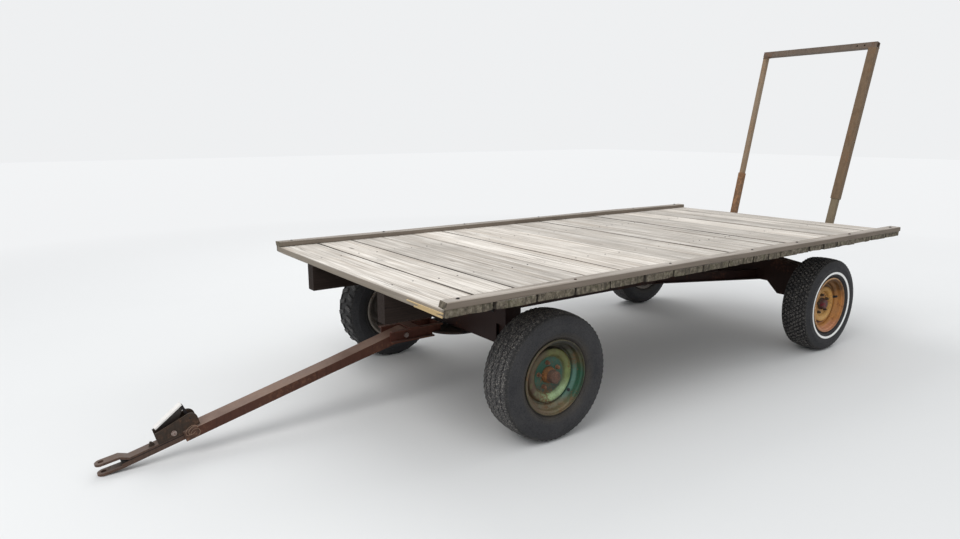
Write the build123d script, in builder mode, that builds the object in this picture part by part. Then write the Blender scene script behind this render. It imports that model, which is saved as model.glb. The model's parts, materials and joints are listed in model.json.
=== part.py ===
from build123d import *
from math import asin, atan2, cos, hypot, radians, sin, tan
import os

os.makedirs("parts", exist_ok=True)

# Four-wheel hay wagon with a flat plank deck, parked with its tongue on the ground.
# +X is the wagon's left, -Y is forward towards the hitch, +Z is up. Sizes are in millimetres.
# The origin is on the ground, midway between the hitch tip and the back of the rear frame.

# Deck
deck_length = 4267.0
deck_width = 2188.0
deck_height = 862.0
plank_thickness = 39.0
plank_gap = 5.0
plank_widths = (277, 257, 256, 253, 266, 242, 267, 251, 253, 161,
                139, 206, 142, 176, 177, 250, 250, 224, 220)
rail_width = 80.0
rail_height = 33.0
stringer_width = 80.0
stringer_height = 160.0
stringer_spacing = 950.0

# Running gear
wheelbase = 2734.0
front_overhang = 760.0
track = 1810.0
beam_depth = 110.0
beam_wall = 8.0
reach_width = 76.0
reach_height = 92.0
reach_wall = 6.0
seat_gap = 0.3

# Front axle
front_bolster_length = 1236.0
front_bolster_height = 103.0
front_beam_height = 118.0
front_beam_length = 1060.0
kingpin_inset = 185.0
kingpin_radius = 14.0
kingpin_sleeve_radius = 34.0
kingpin_sleeve_length = 112.0
kingpin_sleeve_lift = 4.0
kingpin_head_radius = 22.0
kingpin_head_height = 9.0
pin_fit = 0.1
yoke_ear_thickness = 18.0
yoke_ear_radius = 36.0
yoke_gap = 1.0
yoke_web_thickness = 18.0
yoke_web_width = 84.0
yoke_web_clearance = 9.0
arm_clearance = 6.0

# Steering plate and linkage
plate_radius = 200.0
plate_thickness = 12.0
plate_height = 413.0
plate_sleeve_radius = 36.0
pivot_radius = 16.0
pivot_washer_radius = 34.0
pivot_washer_height = 10.0
lug_offset = 35.0
lug_reach = 130.0
lug_radius = 23.0
rod_pin_radius = 8.0
rod_pin_head_radius = 13.0
rod_pin_head_height = 8.0
rod_eye_radius = 20.0
rod_eye_height = 20.0
rod_radius = 9.5
arm_width = 38.0

# Tongue
tongue_pin_ahead = 387.0
tongue_pin_height = 435.0
tongue_pin_radius = 12.0
tongue_pin_head_radius = 15.0
tongue_pin_head_height = 10.0
tongue_width = 102.0
tongue_height = 51.0
tongue_wall = 6.0
tongue_tube_length = 1256.0
tongue_tail = 40.0
tongue_root_height = 64.0
tongue_flare_length = 505.0
tongue_end_wall = 12.0
channel_clearance = 3.0
channel_thickness = 8.0
channel_flange = 35.0
channel_drop = 34.0
channel_rise = 39.0
channel_lead = 107.0
channel_overlap = 60.0
tie_strap_setback = 12.0
tie_strap_length = 70.0
hitch_reach = 1746.0
hitch_bar_width = 60.0
hitch_bar_inside = 160.0
jaw_length = 113.0
jaw_opening = 40.0
jaw_seat = 100.0
prong_tilt = 5.0
prong_rise = 40.0
strap_width = 60.0
strap_thickness = 12.0
strap_nose_radius = 30.5
strap_hole_radius = 13.5
collar_length = 72.0
collar_width = 98.0
collar_height = 62.0
collar_round = 12.0

# Tongue latch
latch_length = 196.0
latch_front_rise = 80.0
latch_plate_thickness = 8.0
latch_cam_setback = 176.0
latch_cam_rise = 71.0
latch_cam_radius = 37.0
latch_bolt_setback = 82.0
latch_bolt_rise = 43.0
latch_bolt_radius = 9.0
latch_bolt_head_radius = 14.0
latch_bolt_head_height = 6.0
link_length = 70.0
link_lean = 10.0
link_width = 14.0
link_thickness = 6.0
link_pin_radius = 5.0
pedal_length = 167.0
pedal_width = 40.0
pedal_thickness = 8.0
pedal_tilt = 23.0
pedal_web_thickness = 8.0

# Rear axle
rear_bolster_length = 1122.0
rear_beam_height = 109.0
rear_beam_length = 1000.0
rear_beam_bottom = 461.0
rear_end_slant = 92.0
rear_end_shelf = 373.0
rear_block_start = 676.0
rear_block_slant = 22.0
rear_end_bottom = 312.0
rear_end_inner_drop = 16.0
rear_end_outer_drop = 42.0
hound_height = 78.0
hound_width = 40.0
hound_wall = 6.0
hound_start = 892.0
hound_seat = 96.0
hound_spread = 830.0

# Wheels
front_tyre_radius = 356.0
rear_tyre_radius = 350.0
front_tyre_width = 230.0
rear_tyre_width = 214.0
shoulder_share = 0.8
rim_radius = 190.5
rim_flange_radius = 209.5
rim_flange_width = 13.0
rim_width = 184.0
rim_well_radius = 168.0
rim_thickness = 5.0
rim_seat_width = 27.0
rim_well_slope = 12.0
rim_well_offset = 4.0
nave_setback = 70.0
nave_flat_radius = 98.0
nave_crown_radius = 125.0
nave_crown_half_width = 18.0
nave_crown_height = 24.0
nave_skirt = 6.0
tyre_wall = 12.0
bead_rise = 6.0
tread_crown = 8.0
lug_depth = 13.0
lug_count = 28
lug_length = 84.0
lug_thickness = 34.0
lug_row_offset = 52.0
spindle_radius = 20.0
spindle_base_radius = 33.0
spindle_base_length = 20.0
spindle_overrun = 50.0
spindle_end_gap = 4.0
hub_end_gap = 1.0
hub_radius = 44.0
hub_flange_radius = 72.0
hub_flange_thickness = 12.0
dust_cap_radius = 34.0
dust_cap_length = 68.0
dust_cap_chamfer = 8.0
nave_lip = 8.0

# Rear frame
post_lean = 13.8
post_wall = 5.0
post_setback = 53.0
post_stub_tail = 55.0
post_bolt_radius = 8.0
post_bolt_end = 10.0
top_bar_middle = 2351.0
top_bar_size = 48.0
bar_hole_radius = 7.0
bar_hole_insets = (105.0, 168.0)
bracket_thickness = 6.0
bracket_length = 200.0
bracket_height = 110.0
bracket_reach = 80.0

# Posts. Columns: name, side, outward splay in degrees, tube width, tube depth,
# tube foot and base top as distances up the post from its bolt, and whether the base is a
# solid stub inside the tube or a socket around it
posts = (("left", 1, 1.6, 68.0, 49.0, 326.0, 470.0, "stub"),
         ("right", -1, 0.4, 39.0, 39.0, 341.0, 505.0, "socket"))

# Places worked out from the sizes above
plank_bottom = deck_height - plank_thickness
stringer_bottom = plank_bottom - stringer_height
bolt_height = stringer_bottom + stringer_height / 2
lean = radians(post_lean)
bar_back = top_bar_size / 2 * (cos(lean) + sin(lean))
frame_back = post_setback + (top_bar_middle - bolt_height) * tan(lean) + bar_back
tilt = radians(prong_tilt)
bar_height = tongue_height - 2 * tongue_wall
jaw_root = hitch_reach - jaw_length * cos(tilt)
jaw_floor = strap_thickness - bar_height / 2
tip_ahead = hitch_reach + strap_thickness * sin(tilt)
tip_below = strap_thickness * cos(tilt) - jaw_floor - jaw_length * sin(tilt)
tongue_drop = asin(tongue_pin_height / hypot(tip_ahead, tip_below)) - atan2(tip_below, tip_ahead)
nose_ahead = hitch_reach - (jaw_opening + strap_thickness) * sin(tilt)
nose_above = jaw_floor + jaw_length * sin(tilt) + (jaw_opening + strap_thickness) * cos(tilt)
nose_reach = nose_ahead * cos(tongue_drop) + nose_above * sin(tongue_drop)
front_reach = tongue_pin_ahead - front_overhang + nose_reach
deck_front = (front_reach - deck_length - frame_back) / 2
deck_rear = deck_front + deck_length
front_axle_y = deck_front + front_overhang
rear_axle_y = front_axle_y + wheelbase
front_beam_top = stringer_bottom - front_bolster_height
front_beam_bottom = front_beam_top - front_beam_height
rear_beam_top = rear_beam_bottom + rear_beam_height
plate_top = plate_height + plate_thickness
kingpin_x = track / 2 - kingpin_inset
web_inner = kingpin_x + kingpin_sleeve_radius + yoke_web_clearance
web_outer = web_inner + yoke_web_thickness
sides = (("left", 1), ("right", -1))

# Deck planks, laid across the stringers
with BuildPart() as deck_planks:
    scale = deck_length / sum(plank_widths)
    start = deck_front
    for nominal in plank_widths:
        width = nominal * scale
        with Locations((0, start + width / 2, plank_bottom + plank_thickness / 2)):
            Box(deck_width, width - plank_gap, plank_thickness)
        start = start + width
deck_planks.part.label = "deck_planks"
export_step(deck_planks.part, "parts/deck_planks.step")

# Side rails, laid flat along the plank ends
for name, side in sides:
    with BuildPart() as side_rail:
        with Locations((side * (deck_width - rail_width) / 2, deck_front + deck_length / 2,
                        deck_height + rail_height / 2)):
            Box(rail_width, deck_length, rail_height)
    side_rail.part.label = f"side_rail_{name}"
    export_step(side_rail.part, f"parts/side_rail_{name}.step")

# Stringers under the planks
for name, side in sides:
    with BuildPart() as stringer:
        with Locations((side * stringer_spacing / 2, deck_front + deck_length / 2,
                        stringer_bottom + stringer_height / 2)):
            Box(stringer_width, deck_length, stringer_height)
    stringer.part.label = f"stringer_{name}"
    export_step(stringer.part, f"parts/stringer_{name}.step")

# Bolsters that carry the stringers
with BuildPart() as front_bolster:
    with Locations((0, front_axle_y, front_beam_top + front_bolster_height / 2)):
        Box(front_bolster_length, beam_depth, front_bolster_height)
front_bolster.part.label = "front_bolster"
export_step(front_bolster.part, "parts/front_bolster.step")

with BuildPart() as rear_bolster:
    rear_bolster_height = stringer_bottom - rear_beam_top
    with Locations((0, rear_axle_y, rear_beam_top + rear_bolster_height / 2)):
        Box(rear_bolster_length, beam_depth, rear_bolster_height)
rear_bolster.part.label = "rear_bolster"
export_step(rear_bolster.part, "parts/rear_bolster.step")

# Front axle: a box beam whose ends drop to the kingpin sleeves
sleeve_middle = front_tyre_radius + kingpin_sleeve_lift
sleeve_bottom = sleeve_middle - kingpin_sleeve_length / 2
sleeve_top = sleeve_middle + kingpin_sleeve_length / 2
with BuildPart() as front_axle:
    with Locations((0, front_axle_y, (front_beam_bottom + front_beam_top) / 2)):
        Box(front_beam_length, beam_depth, front_beam_height)
        Box(front_beam_length, beam_depth - 2 * beam_wall, front_beam_height - 2 * beam_wall,
            mode=Mode.SUBTRACT)
    for side in (1, -1):
        with BuildSketch(Plane.XZ.offset(-front_axle_y)):
            with BuildLine():
                Polyline((side * front_beam_length / 2, front_beam_bottom),
                         (side * (kingpin_x - kingpin_sleeve_radius * 2), sleeve_bottom),
                         (side * kingpin_x, sleeve_bottom),
                         (side * kingpin_x, sleeve_top),
                         (side * (kingpin_x - yoke_ear_radius - arm_clearance), sleeve_top),
                         (side * (front_bolster_length / 2), front_beam_top),
                         (side * front_beam_length / 2, front_beam_top), close=True)
            make_face()
        extrude(amount=kingpin_sleeve_radius, both=True)
        with Locations((side * kingpin_x, front_axle_y, sleeve_middle)):
            Cylinder(kingpin_sleeve_radius, kingpin_sleeve_length)
            Cylinder(kingpin_radius + pin_fit, kingpin_sleeve_length, mode=Mode.SUBTRACT)
front_axle.part.label = "front_axle"
export_step(front_axle.part, "parts/front_axle.step")

# Reach pole between the axles
with BuildPart() as reach_pole:
    reach_length = wheelbase - beam_depth
    with Locations((0, front_axle_y + wheelbase / 2, rear_beam_bottom + reach_height / 2)):
        Box(reach_width, reach_length, reach_height)
        Box(reach_width - 2 * reach_wall, reach_length, reach_height - 2 * reach_wall,
            mode=Mode.SUBTRACT)
reach_pole.part.label = "reach_pole"
export_step(reach_pole.part, "parts/reach_pole.step")

# Rear hounds: channels that brace the reach pole to the rear beam
with BuildPart() as rear_hounds:
    hound_end_y = rear_axle_y - beam_depth / 2
    hound_start_y = hound_end_y - hound_start
    for side in (1, -1):
        seat_x = side * reach_width / 2
        inner_x = side * (hound_spread - hound_width) / 2
        outer_x = side * (hound_spread + hound_width) / 2
        with BuildSketch(Plane.XY.offset(rear_beam_bottom)):
            with BuildLine():
                Polyline((seat_x, hound_start_y), (seat_x, hound_start_y + hound_seat),
                         (inner_x, hound_end_y), (outer_x, hound_end_y), close=True)
            make_face()
        extrude(amount=hound_height)
        with BuildSketch(Plane.XY.offset(rear_beam_bottom + hound_wall)):
            with BuildLine():
                Polyline((seat_x + side * hound_width, hound_start_y),
                         (seat_x + side * hound_wall, hound_start_y + hound_seat - hound_wall),
                         (inner_x + side * hound_wall, hound_end_y),
                         (outer_x + side * hound_width, hound_end_y), close=True)
            make_face()
        extrude(amount=hound_height - 2 * hound_wall, mode=Mode.SUBTRACT)
rear_hounds.part.label = "rear_hounds"
export_step(rear_hounds.part, "parts/rear_hounds.step")

# Rear axle: a box beam with deep end plates that carry the spindles
rear_end_inner_top = stringer_bottom - rear_end_inner_drop
rear_end_outer_top = stringer_bottom - rear_end_outer_drop
with BuildPart() as rear_axle:
    with Locations((0, rear_axle_y, (rear_beam_bottom + rear_beam_top) / 2)):
        Box(rear_beam_length, beam_depth, rear_beam_height)
        Box(rear_beam_length, beam_depth - 2 * beam_wall, rear_beam_height - 2 * beam_wall,
            mode=Mode.SUBTRACT)
    for side in (1, -1):
        end_x = side * web_outer
        with BuildSketch(Plane.XZ.offset(-rear_axle_y)):
            with BuildLine():
                Polyline((side * rear_beam_length / 2, rear_beam_bottom),
                         (side * (rear_beam_length / 2 + rear_end_slant), rear_end_shelf),
                         (side * rear_block_start, rear_end_shelf),
                         (side * (rear_block_start + rear_block_slant), rear_end_bottom),
                         (end_x, rear_end_bottom),
                         (end_x, rear_end_outer_top),
                         (side * rear_bolster_length / 2, rear_end_inner_top),
                         (side * rear_bolster_length / 2, rear_beam_top),
                         (side * rear_beam_length / 2, rear_beam_top), close=True)
            make_face()
        extrude(amount=beam_depth / 2, both=True)
        with BuildSketch(Plane.YZ.offset(end_x)):
            with Locations((rear_axle_y, rear_tyre_radius)):
                Circle(spindle_base_radius)
        extrude(amount=side * spindle_base_length)
        with BuildSketch(Plane.YZ.offset(end_x)):
            with Locations((rear_axle_y, rear_tyre_radius)):
                Circle(spindle_radius)
        extrude(amount=side * (track / 2 - web_outer + spindle_overrun))
rear_axle.part.label = "rear_axle"
export_step(rear_axle.part, "parts/rear_axle.step")

# Steering pivot under the front beam
with BuildPart() as steering_pivot:
    pivot_bottom = plate_height - seat_gap
    with Locations((0, front_axle_y, pivot_bottom)):
        Cylinder(pivot_radius, front_beam_bottom - pivot_bottom,
                 align=(Align.CENTER, Align.CENTER, Align.MIN))
        Cylinder(pivot_washer_radius, pivot_washer_height,
                 align=(Align.CENTER, Align.CENTER, Align.MAX))
steering_pivot.part.label = "steering_pivot"
export_step(steering_pivot.part, "parts/steering_pivot.step")

# Steering plate, turned by the tongue
with BuildPart() as steering_plate:
    with BuildSketch(Plane.XY.offset(plate_height)):
        with Locations((0, front_axle_y)):
            Circle(plate_radius)
        with Locations((lug_offset, front_axle_y + lug_reach), (-lug_offset, front_axle_y + lug_reach)):
            Circle(lug_radius)
    extrude(amount=plate_thickness)
    with BuildSketch(Plane.XY.offset(plate_top)):
        with Locations((0, front_axle_y)):
            Circle(plate_sleeve_radius)
    extrude(amount=front_beam_bottom - seat_gap - plate_top)
    with BuildSketch(Plane.XY.offset(plate_height)):
        with Locations((0, front_axle_y)):
            Circle(pivot_radius + pin_fit)
    extrude(amount=front_beam_bottom - plate_height, mode=Mode.SUBTRACT)
steering_plate.part.label = "steering_plate"
export_step(steering_plate.part, "parts/steering_plate.step")

# Pins that hold the tie rods' inner eyes
rod_bottom = plate_top + seat_gap
rod_pin_height = rod_eye_height + 2 * seat_gap
with BuildPart() as steering_pins:
    with BuildSketch(Plane.XY.offset(plate_top)):
        with Locations((lug_offset, front_axle_y + lug_reach), (-lug_offset, front_axle_y + lug_reach)):
            Circle(rod_pin_radius)
    extrude(amount=rod_pin_height)
    with BuildSketch(Plane.XY.offset(plate_top + rod_pin_height)):
        with Locations((lug_offset, front_axle_y + lug_reach), (-lug_offset, front_axle_y + lug_reach)):
            Circle(rod_pin_head_radius)
    extrude(amount=rod_pin_head_height)
steering_pins.part.label = "steering_pins"
export_step(steering_pins.part, "parts/steering_pins.step")

# Tie rods between the steering plate and the knuckle arms
for name, side in sides:
    inner_x = side * lug_offset
    outer_x = side * (kingpin_x + lug_offset)
    with BuildPart() as tie_rod:
        with BuildSketch(Plane.XY.offset(rod_bottom)):
            with Locations((inner_x, front_axle_y + lug_reach), (outer_x, front_axle_y + lug_reach)):
                Circle(rod_eye_radius)
        extrude(amount=rod_eye_height)
        with BuildSketch(Plane.YZ.offset(inner_x)):
            with Locations((front_axle_y + lug_reach, rod_bottom + rod_eye_height / 2)):
                Circle(rod_radius)
        extrude(amount=outer_x - inner_x)
        with BuildSketch(Plane.XY.offset(rod_bottom)):
            with Locations((inner_x, front_axle_y + lug_reach), (outer_x, front_axle_y + lug_reach)):
                Circle(rod_pin_radius + pin_fit)
        extrude(amount=rod_eye_height, mode=Mode.SUBTRACT)
    tie_rod.part.label = f"tie_rod_{name}"
    export_step(tie_rod.part, f"parts/tie_rod_{name}.step")

# Knuckles: a yoke on the kingpin, the wheel spindle and the steering arm
ear_low = sleeve_bottom - yoke_gap - yoke_ear_thickness
ear_high = sleeve_top + yoke_gap
for name, side in sides:
    with BuildPart() as knuckle:
        for level in (ear_low, ear_high):
            with BuildSketch(Plane.XY.offset(level)):
                with Locations((side * kingpin_x, front_axle_y)):
                    Circle(yoke_ear_radius)
                with Locations((side * (kingpin_x + web_outer) / 2, front_axle_y)):
                    Rectangle(web_outer - kingpin_x, yoke_ear_radius * 2)
            extrude(amount=yoke_ear_thickness)
        with BuildSketch(Plane.XY.offset(ear_low)):
            with Locations((side * (web_inner + web_outer) / 2, front_axle_y)):
                Rectangle(yoke_web_thickness, yoke_web_width)
        extrude(amount=ear_high + yoke_ear_thickness - ear_low)
        with BuildSketch(Plane.XY.offset(plate_height)):
            with BuildLine():
                Polyline((side * web_inner, front_axle_y),
                         (side * web_outer, front_axle_y),
                         (side * (kingpin_x + lug_offset + arm_width / 2), front_axle_y + lug_reach),
                         (side * (kingpin_x + lug_offset - arm_width / 2), front_axle_y + lug_reach),
                         close=True)
            make_face()
            with Locations((side * (kingpin_x + lug_offset), front_axle_y + lug_reach)):
                Circle(arm_width / 2)
        extrude(amount=plate_thickness)
        with BuildSketch(Plane.XY.offset(plate_top)):
            with Locations((side * (kingpin_x + lug_offset), front_axle_y + lug_reach)):
                Circle(rod_pin_radius)
        extrude(amount=rod_pin_height)
        with BuildSketch(Plane.XY.offset(plate_top + rod_pin_height)):
            with Locations((side * (kingpin_x + lug_offset), front_axle_y + lug_reach)):
                Circle(rod_pin_head_radius)
        extrude(amount=rod_pin_head_height)
        with BuildSketch(Plane.YZ.offset(side * web_outer)):
            with Locations((front_axle_y, front_tyre_radius)):
                Circle(spindle_base_radius)
        extrude(amount=side * spindle_base_length)
        with BuildSketch(Plane.YZ.offset(side * web_outer)):
            with Locations((front_axle_y, front_tyre_radius)):
                Circle(spindle_radius)
        extrude(amount=side * (track / 2 - web_outer + spindle_overrun))
        with Locations((side * kingpin_x, front_axle_y, sleeve_middle)):
            Cylinder(kingpin_radius, 2 * kingpin_sleeve_length, mode=Mode.SUBTRACT)
    knuckle.part.label = f"knuckle_{name}"
    export_step(knuckle.part, f"parts/knuckle_{name}.step")

    with BuildPart() as kingpin:
        with BuildSketch(Plane.XY.offset(ear_low)):
            with Locations((side * kingpin_x, front_axle_y)):
                Circle(kingpin_radius)
        extrude(amount=ear_high + yoke_ear_thickness - ear_low)
        with BuildSketch(Plane.XY.offset(ear_high + yoke_ear_thickness)):
            with Locations((side * kingpin_x, front_axle_y)):
                Circle(kingpin_head_radius)
        extrude(amount=kingpin_head_height)
    kingpin.part.label = f"kingpin_{name}"
    export_step(kingpin.part, f"parts/kingpin_{name}.step")

# Tongue bracket: two channels on the steering plate, tied by a strap behind the tongue's end
pin_y = front_axle_y - tongue_pin_ahead
plate_front_y = front_axle_y - plate_radius
channel_front_y = pin_y - channel_lead
channel_back_y = plate_front_y + channel_overlap
channel_low = tongue_pin_height - channel_drop
channel_high = tongue_pin_height + channel_rise
channel_inner = tongue_width / 2 + channel_clearance
channel_web = channel_inner + channel_thickness
channel_outer = channel_inner + channel_flange
with BuildPart() as tongue_bracket:
    for side in (1, -1):
        with BuildSketch(Plane.YZ.offset(side * channel_inner)):
            with BuildLine():
                Polyline((channel_front_y, channel_low), (plate_front_y, channel_low),
                         (plate_front_y, plate_top), (channel_back_y, plate_top),
                         (channel_back_y, channel_high), (channel_front_y, channel_high), close=True)
            make_face()
        extrude(amount=side * channel_flange)
        with BuildSketch(Plane.YZ.offset(side * channel_web)):
            with BuildLine():
                Polyline((channel_front_y, channel_low + channel_thickness),
                         (plate_front_y, channel_low + channel_thickness), (plate_front_y, plate_top),
                         (channel_back_y, plate_top), (channel_back_y, channel_high - channel_thickness),
                         (channel_front_y, channel_high - channel_thickness), close=True)
            make_face()
        extrude(amount=side * (channel_flange - channel_thickness), mode=Mode.SUBTRACT)
        with BuildSketch(Plane.YZ.offset(side * channel_inner)):
            with Locations((pin_y, tongue_pin_height)):
                Circle(tongue_pin_radius)
        extrude(amount=side * channel_thickness, mode=Mode.SUBTRACT)
    with BuildSketch(Plane.XY.offset(channel_high)):
        with Locations((0, pin_y + tie_strap_setback + tie_strap_length / 2)):
            Rectangle(channel_outer * 2, tie_strap_length)
    extrude(amount=channel_thickness)
    with BuildSketch(Plane.XY.offset(plate_top)):
        with Locations((0, channel_back_y - channel_thickness / 2)):
            Rectangle(channel_inner * 2, channel_thickness)
    extrude(amount=channel_high - plate_top)
tongue_bracket.part.label = "tongue_bracket"
export_step(tongue_bracket.part, "parts/tongue_bracket.step")

# Tongue frame: its own y runs back along the tongue and its own z stands square to it
tongue_frame = Plane(origin=(0, pin_y, tongue_pin_height), x_dir=(1, 0, 0),
                     z_dir=(0, -sin(tongue_drop), cos(tongue_drop)))
# Side view of the tongue: x runs back along it and y stands square to it
side_view = Plane(origin=tongue_frame.origin, x_dir=tongue_frame.y_dir, z_dir=(1, 0, 0))
# Jaw frame: lies on the lower prong, with its own y running back along the prongs
jaw_frame = Plane(tongue_frame.location * Location((0, -jaw_root, jaw_floor), (-prong_tilt, 0, 0)))

# Tongue pin, fixed in the channels
with BuildPart() as tongue_pin:
    with BuildSketch(Plane.YZ.offset(-channel_web)):
        with Locations((pin_y, tongue_pin_height)):
            Circle(tongue_pin_radius)
    extrude(amount=2 * channel_web)
    for side in (1, -1):
        with BuildSketch(Plane.YZ.offset(side * channel_web)):
            with Locations((pin_y, tongue_pin_height)):
                Circle(tongue_pin_head_radius)
        extrude(amount=side * tongue_pin_head_height)
tongue_pin.part.label = "tongue_pin"
export_step(tongue_pin.part, "parts/tongue_pin.step")

# Tongue tube, deeper towards its pin, rounded and closed behind it and open at the front
with BuildPart() as tongue_tube:
    root = tongue_root_height / 2
    slim = tongue_height / 2
    tail_centre = tongue_tail - root
    hollow_back = tail_centre - tongue_end_wall - root
    with BuildSketch(side_view):
        with BuildLine():
            Polyline((tail_centre, root), (0, root), (-tongue_flare_length, slim),
                     (-tongue_tube_length, slim), (-tongue_tube_length, -slim),
                     (-tongue_flare_length, -slim), (0, -root), (tail_centre, -root), close=True)
        make_face()
        with Locations((tail_centre, 0)):
            Circle(root)
    extrude(amount=tongue_width / 2, both=True)
    with BuildSketch(side_view):
        with Locations((hollow_back, 0)):
            Rectangle(tongue_tube_length, bar_height, align=(Align.MAX, Align.CENTER))
    extrude(amount=tongue_width / 2 - tongue_wall, both=True, mode=Mode.SUBTRACT)
    with Locations(tongue_frame.location * Location((0, 0, 0), (0, 90, 0))):
        Cylinder(tongue_pin_radius + pin_fit, tongue_width, mode=Mode.SUBTRACT)
tongue_tube.part.label = "tongue_tube"
export_step(tongue_tube.part, "parts/tongue_tube.step")

# Hitch bar that slides in the tongue tube, notched below for the lower prong
bar_back_end = hitch_bar_inside - tongue_tube_length
with BuildPart() as hitch_bar:
    with BuildSketch(side_view):
        with BuildLine():
            Polyline((bar_back_end, -bar_height / 2), (bar_back_end, bar_height / 2 - strap_thickness),
                     (-jaw_root, bar_height / 2 - strap_thickness), (-jaw_root, jaw_floor),
                     (jaw_seat - jaw_root, jaw_floor), (jaw_seat - jaw_root, -bar_height / 2), close=True)
        make_face()
    extrude(amount=hitch_bar_width / 2, both=True)
hitch_bar.part.label = "hitch_bar"
export_step(hitch_bar.part, "parts/hitch_bar.step")

# Hitch straps: bent flat bars that end in the two drilled prongs of the jaw
upper_level = (bar_height - strap_thickness) / 2
upper_root = jaw_floor + jaw_opening + strap_thickness / 2
straps = (("upper", jaw_opening + strap_thickness / 2,
           ((bar_back_end, upper_level), (-jaw_root + prong_rise, upper_level), (-jaw_root, upper_root))),
          ("lower", -strap_thickness / 2,
           ((jaw_seat - jaw_root, -upper_level), (-jaw_root, -upper_level))))
for name, level, bends in straps:
    tip = side_view.to_local_coords(jaw_frame.from_local_coords((0, -jaw_length, level)))
    with BuildPart() as hitch_strap:
        with BuildSketch(side_view):
            with BuildLine():
                Polyline(*bends, (tip.X, tip.Y))
            trace(line_width=strap_thickness)
            with Locations(*bends[1:]):
                Circle(strap_thickness / 2)
        extrude(amount=strap_width / 2, both=True)
        with BuildSketch(jaw_frame.offset(level - strap_thickness)):
            with Locations((0, strap_nose_radius - jaw_length)):
                Rectangle(2 * strap_width, strap_width, align=(Align.CENTER, Align.MAX))
                Circle(strap_nose_radius, mode=Mode.SUBTRACT)
        extrude(amount=2 * strap_thickness, mode=Mode.SUBTRACT)
        with Locations(jaw_frame.location * Location((0, strap_width / 2 - jaw_length, level))):
            Cylinder(strap_hole_radius, 2 * strap_thickness, mode=Mode.SUBTRACT)
    hitch_strap.part.label = f"hitch_strap_{name}"
    export_step(hitch_strap.part, f"parts/hitch_strap_{name}.step")

# Collar on the tongue tube's front end, with the hitch bar running through it
collar_front = -tongue_tube_length - collar_length
with BuildPart() as tongue_collar:
    with BuildSketch(Plane(origin=tongue_frame.from_local_coords((0, -tongue_tube_length, 0)),
                           x_dir=(1, 0, 0), z_dir=-tongue_frame.y_dir)):
        RectangleRounded(collar_width, collar_height, collar_round)
        Rectangle(hitch_bar_width, bar_height, mode=Mode.SUBTRACT)
    extrude(amount=collar_length)
tongue_collar.part.label = "tongue_collar"
export_step(tongue_collar.part, "parts/tongue_collar.step")

# Latch housing: two cam plates that straddle the hitch bar and stand on the collar
latch_front = -tongue_tube_length - latch_length
cam_spot = (latch_front + latch_cam_setback, latch_cam_rise)
bolt_spot = (latch_front + latch_bolt_setback, latch_bolt_rise)
link_spot = (cam_spot[0], cam_spot[1] + latch_cam_radius / 4)
with BuildPart() as latch_housing:
    for side in (1, -1):
        with BuildSketch(side_view.offset(side * hitch_bar_width / 2)):
            with BuildLine():
                Polyline((latch_front, bar_height / 2), (latch_front, latch_front_rise),
                         (cam_spot[0], cam_spot[1] + latch_cam_radius),
                         (cam_spot[0] + latch_cam_radius, cam_spot[1]),
                         (cam_spot[0] + latch_cam_radius, collar_height / 2),
                         (collar_front, collar_height / 2), (collar_front, bar_height / 2), close=True)
            make_face()
            with Locations(cam_spot):
                Circle(latch_cam_radius)
            with Locations(bolt_spot):
                Circle(latch_bolt_radius + pin_fit, mode=Mode.SUBTRACT)
            with Locations(link_spot):
                Circle(link_pin_radius + pin_fit, mode=Mode.SUBTRACT)
        extrude(amount=side * latch_plate_thickness)
    with BuildSketch(side_view):
        with Locations((latch_front, bar_height / 2)):
            Rectangle(latch_length - collar_length, latch_plate_thickness, align=(Align.MIN, Align.MIN))
    extrude(amount=hitch_bar_width / 2, both=True)
latch_housing.part.label = "latch_housing"
export_step(latch_housing.part, "parts/latch_housing.step")

# Latch bolt through the housing
plate_outside = hitch_bar_width / 2 + latch_plate_thickness
with BuildPart() as latch_bolt:
    with BuildSketch(side_view):
        with Locations(bolt_spot):
            Circle(latch_bolt_radius)
    extrude(amount=plate_outside, both=True)
    for side in (1, -1):
        with BuildSketch(side_view.offset(side * plate_outside)):
            with Locations(bolt_spot):
                Circle(latch_bolt_head_radius)
        extrude(amount=side * latch_bolt_head_height)
latch_bolt.part.label = "latch_bolt"
export_step(latch_bolt.part, "parts/latch_bolt.step")

# Latch link: two bars on a cross pin in the cam plates, with a second pin under the pedal
link_turn = radians(link_lean)
link_top = (link_spot[0] - link_length * sin(link_turn), link_spot[1] + link_length * cos(link_turn))
link_offset = pedal_web_thickness / 2 + seat_gap
with BuildPart() as latch_link:
    for side in (1, -1):
        with BuildSketch(side_view.offset(side * link_offset)):
            with BuildLine():
                Line(link_spot, link_top)
            trace(line_width=link_width)
            with Locations(link_spot, link_top):
                Circle(link_width / 2)
        extrude(amount=side * link_thickness)
    with BuildSketch(side_view):
        with Locations(link_spot):
            Circle(link_pin_radius)
    extrude(amount=plate_outside, both=True)
    with BuildSketch(side_view):
        with Locations(link_top):
            Circle(link_pin_radius)
    extrude(amount=link_offset + link_thickness, both=True)
latch_link.part.label = "latch_link"
export_step(latch_link.part, "parts/latch_link.step")

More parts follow.
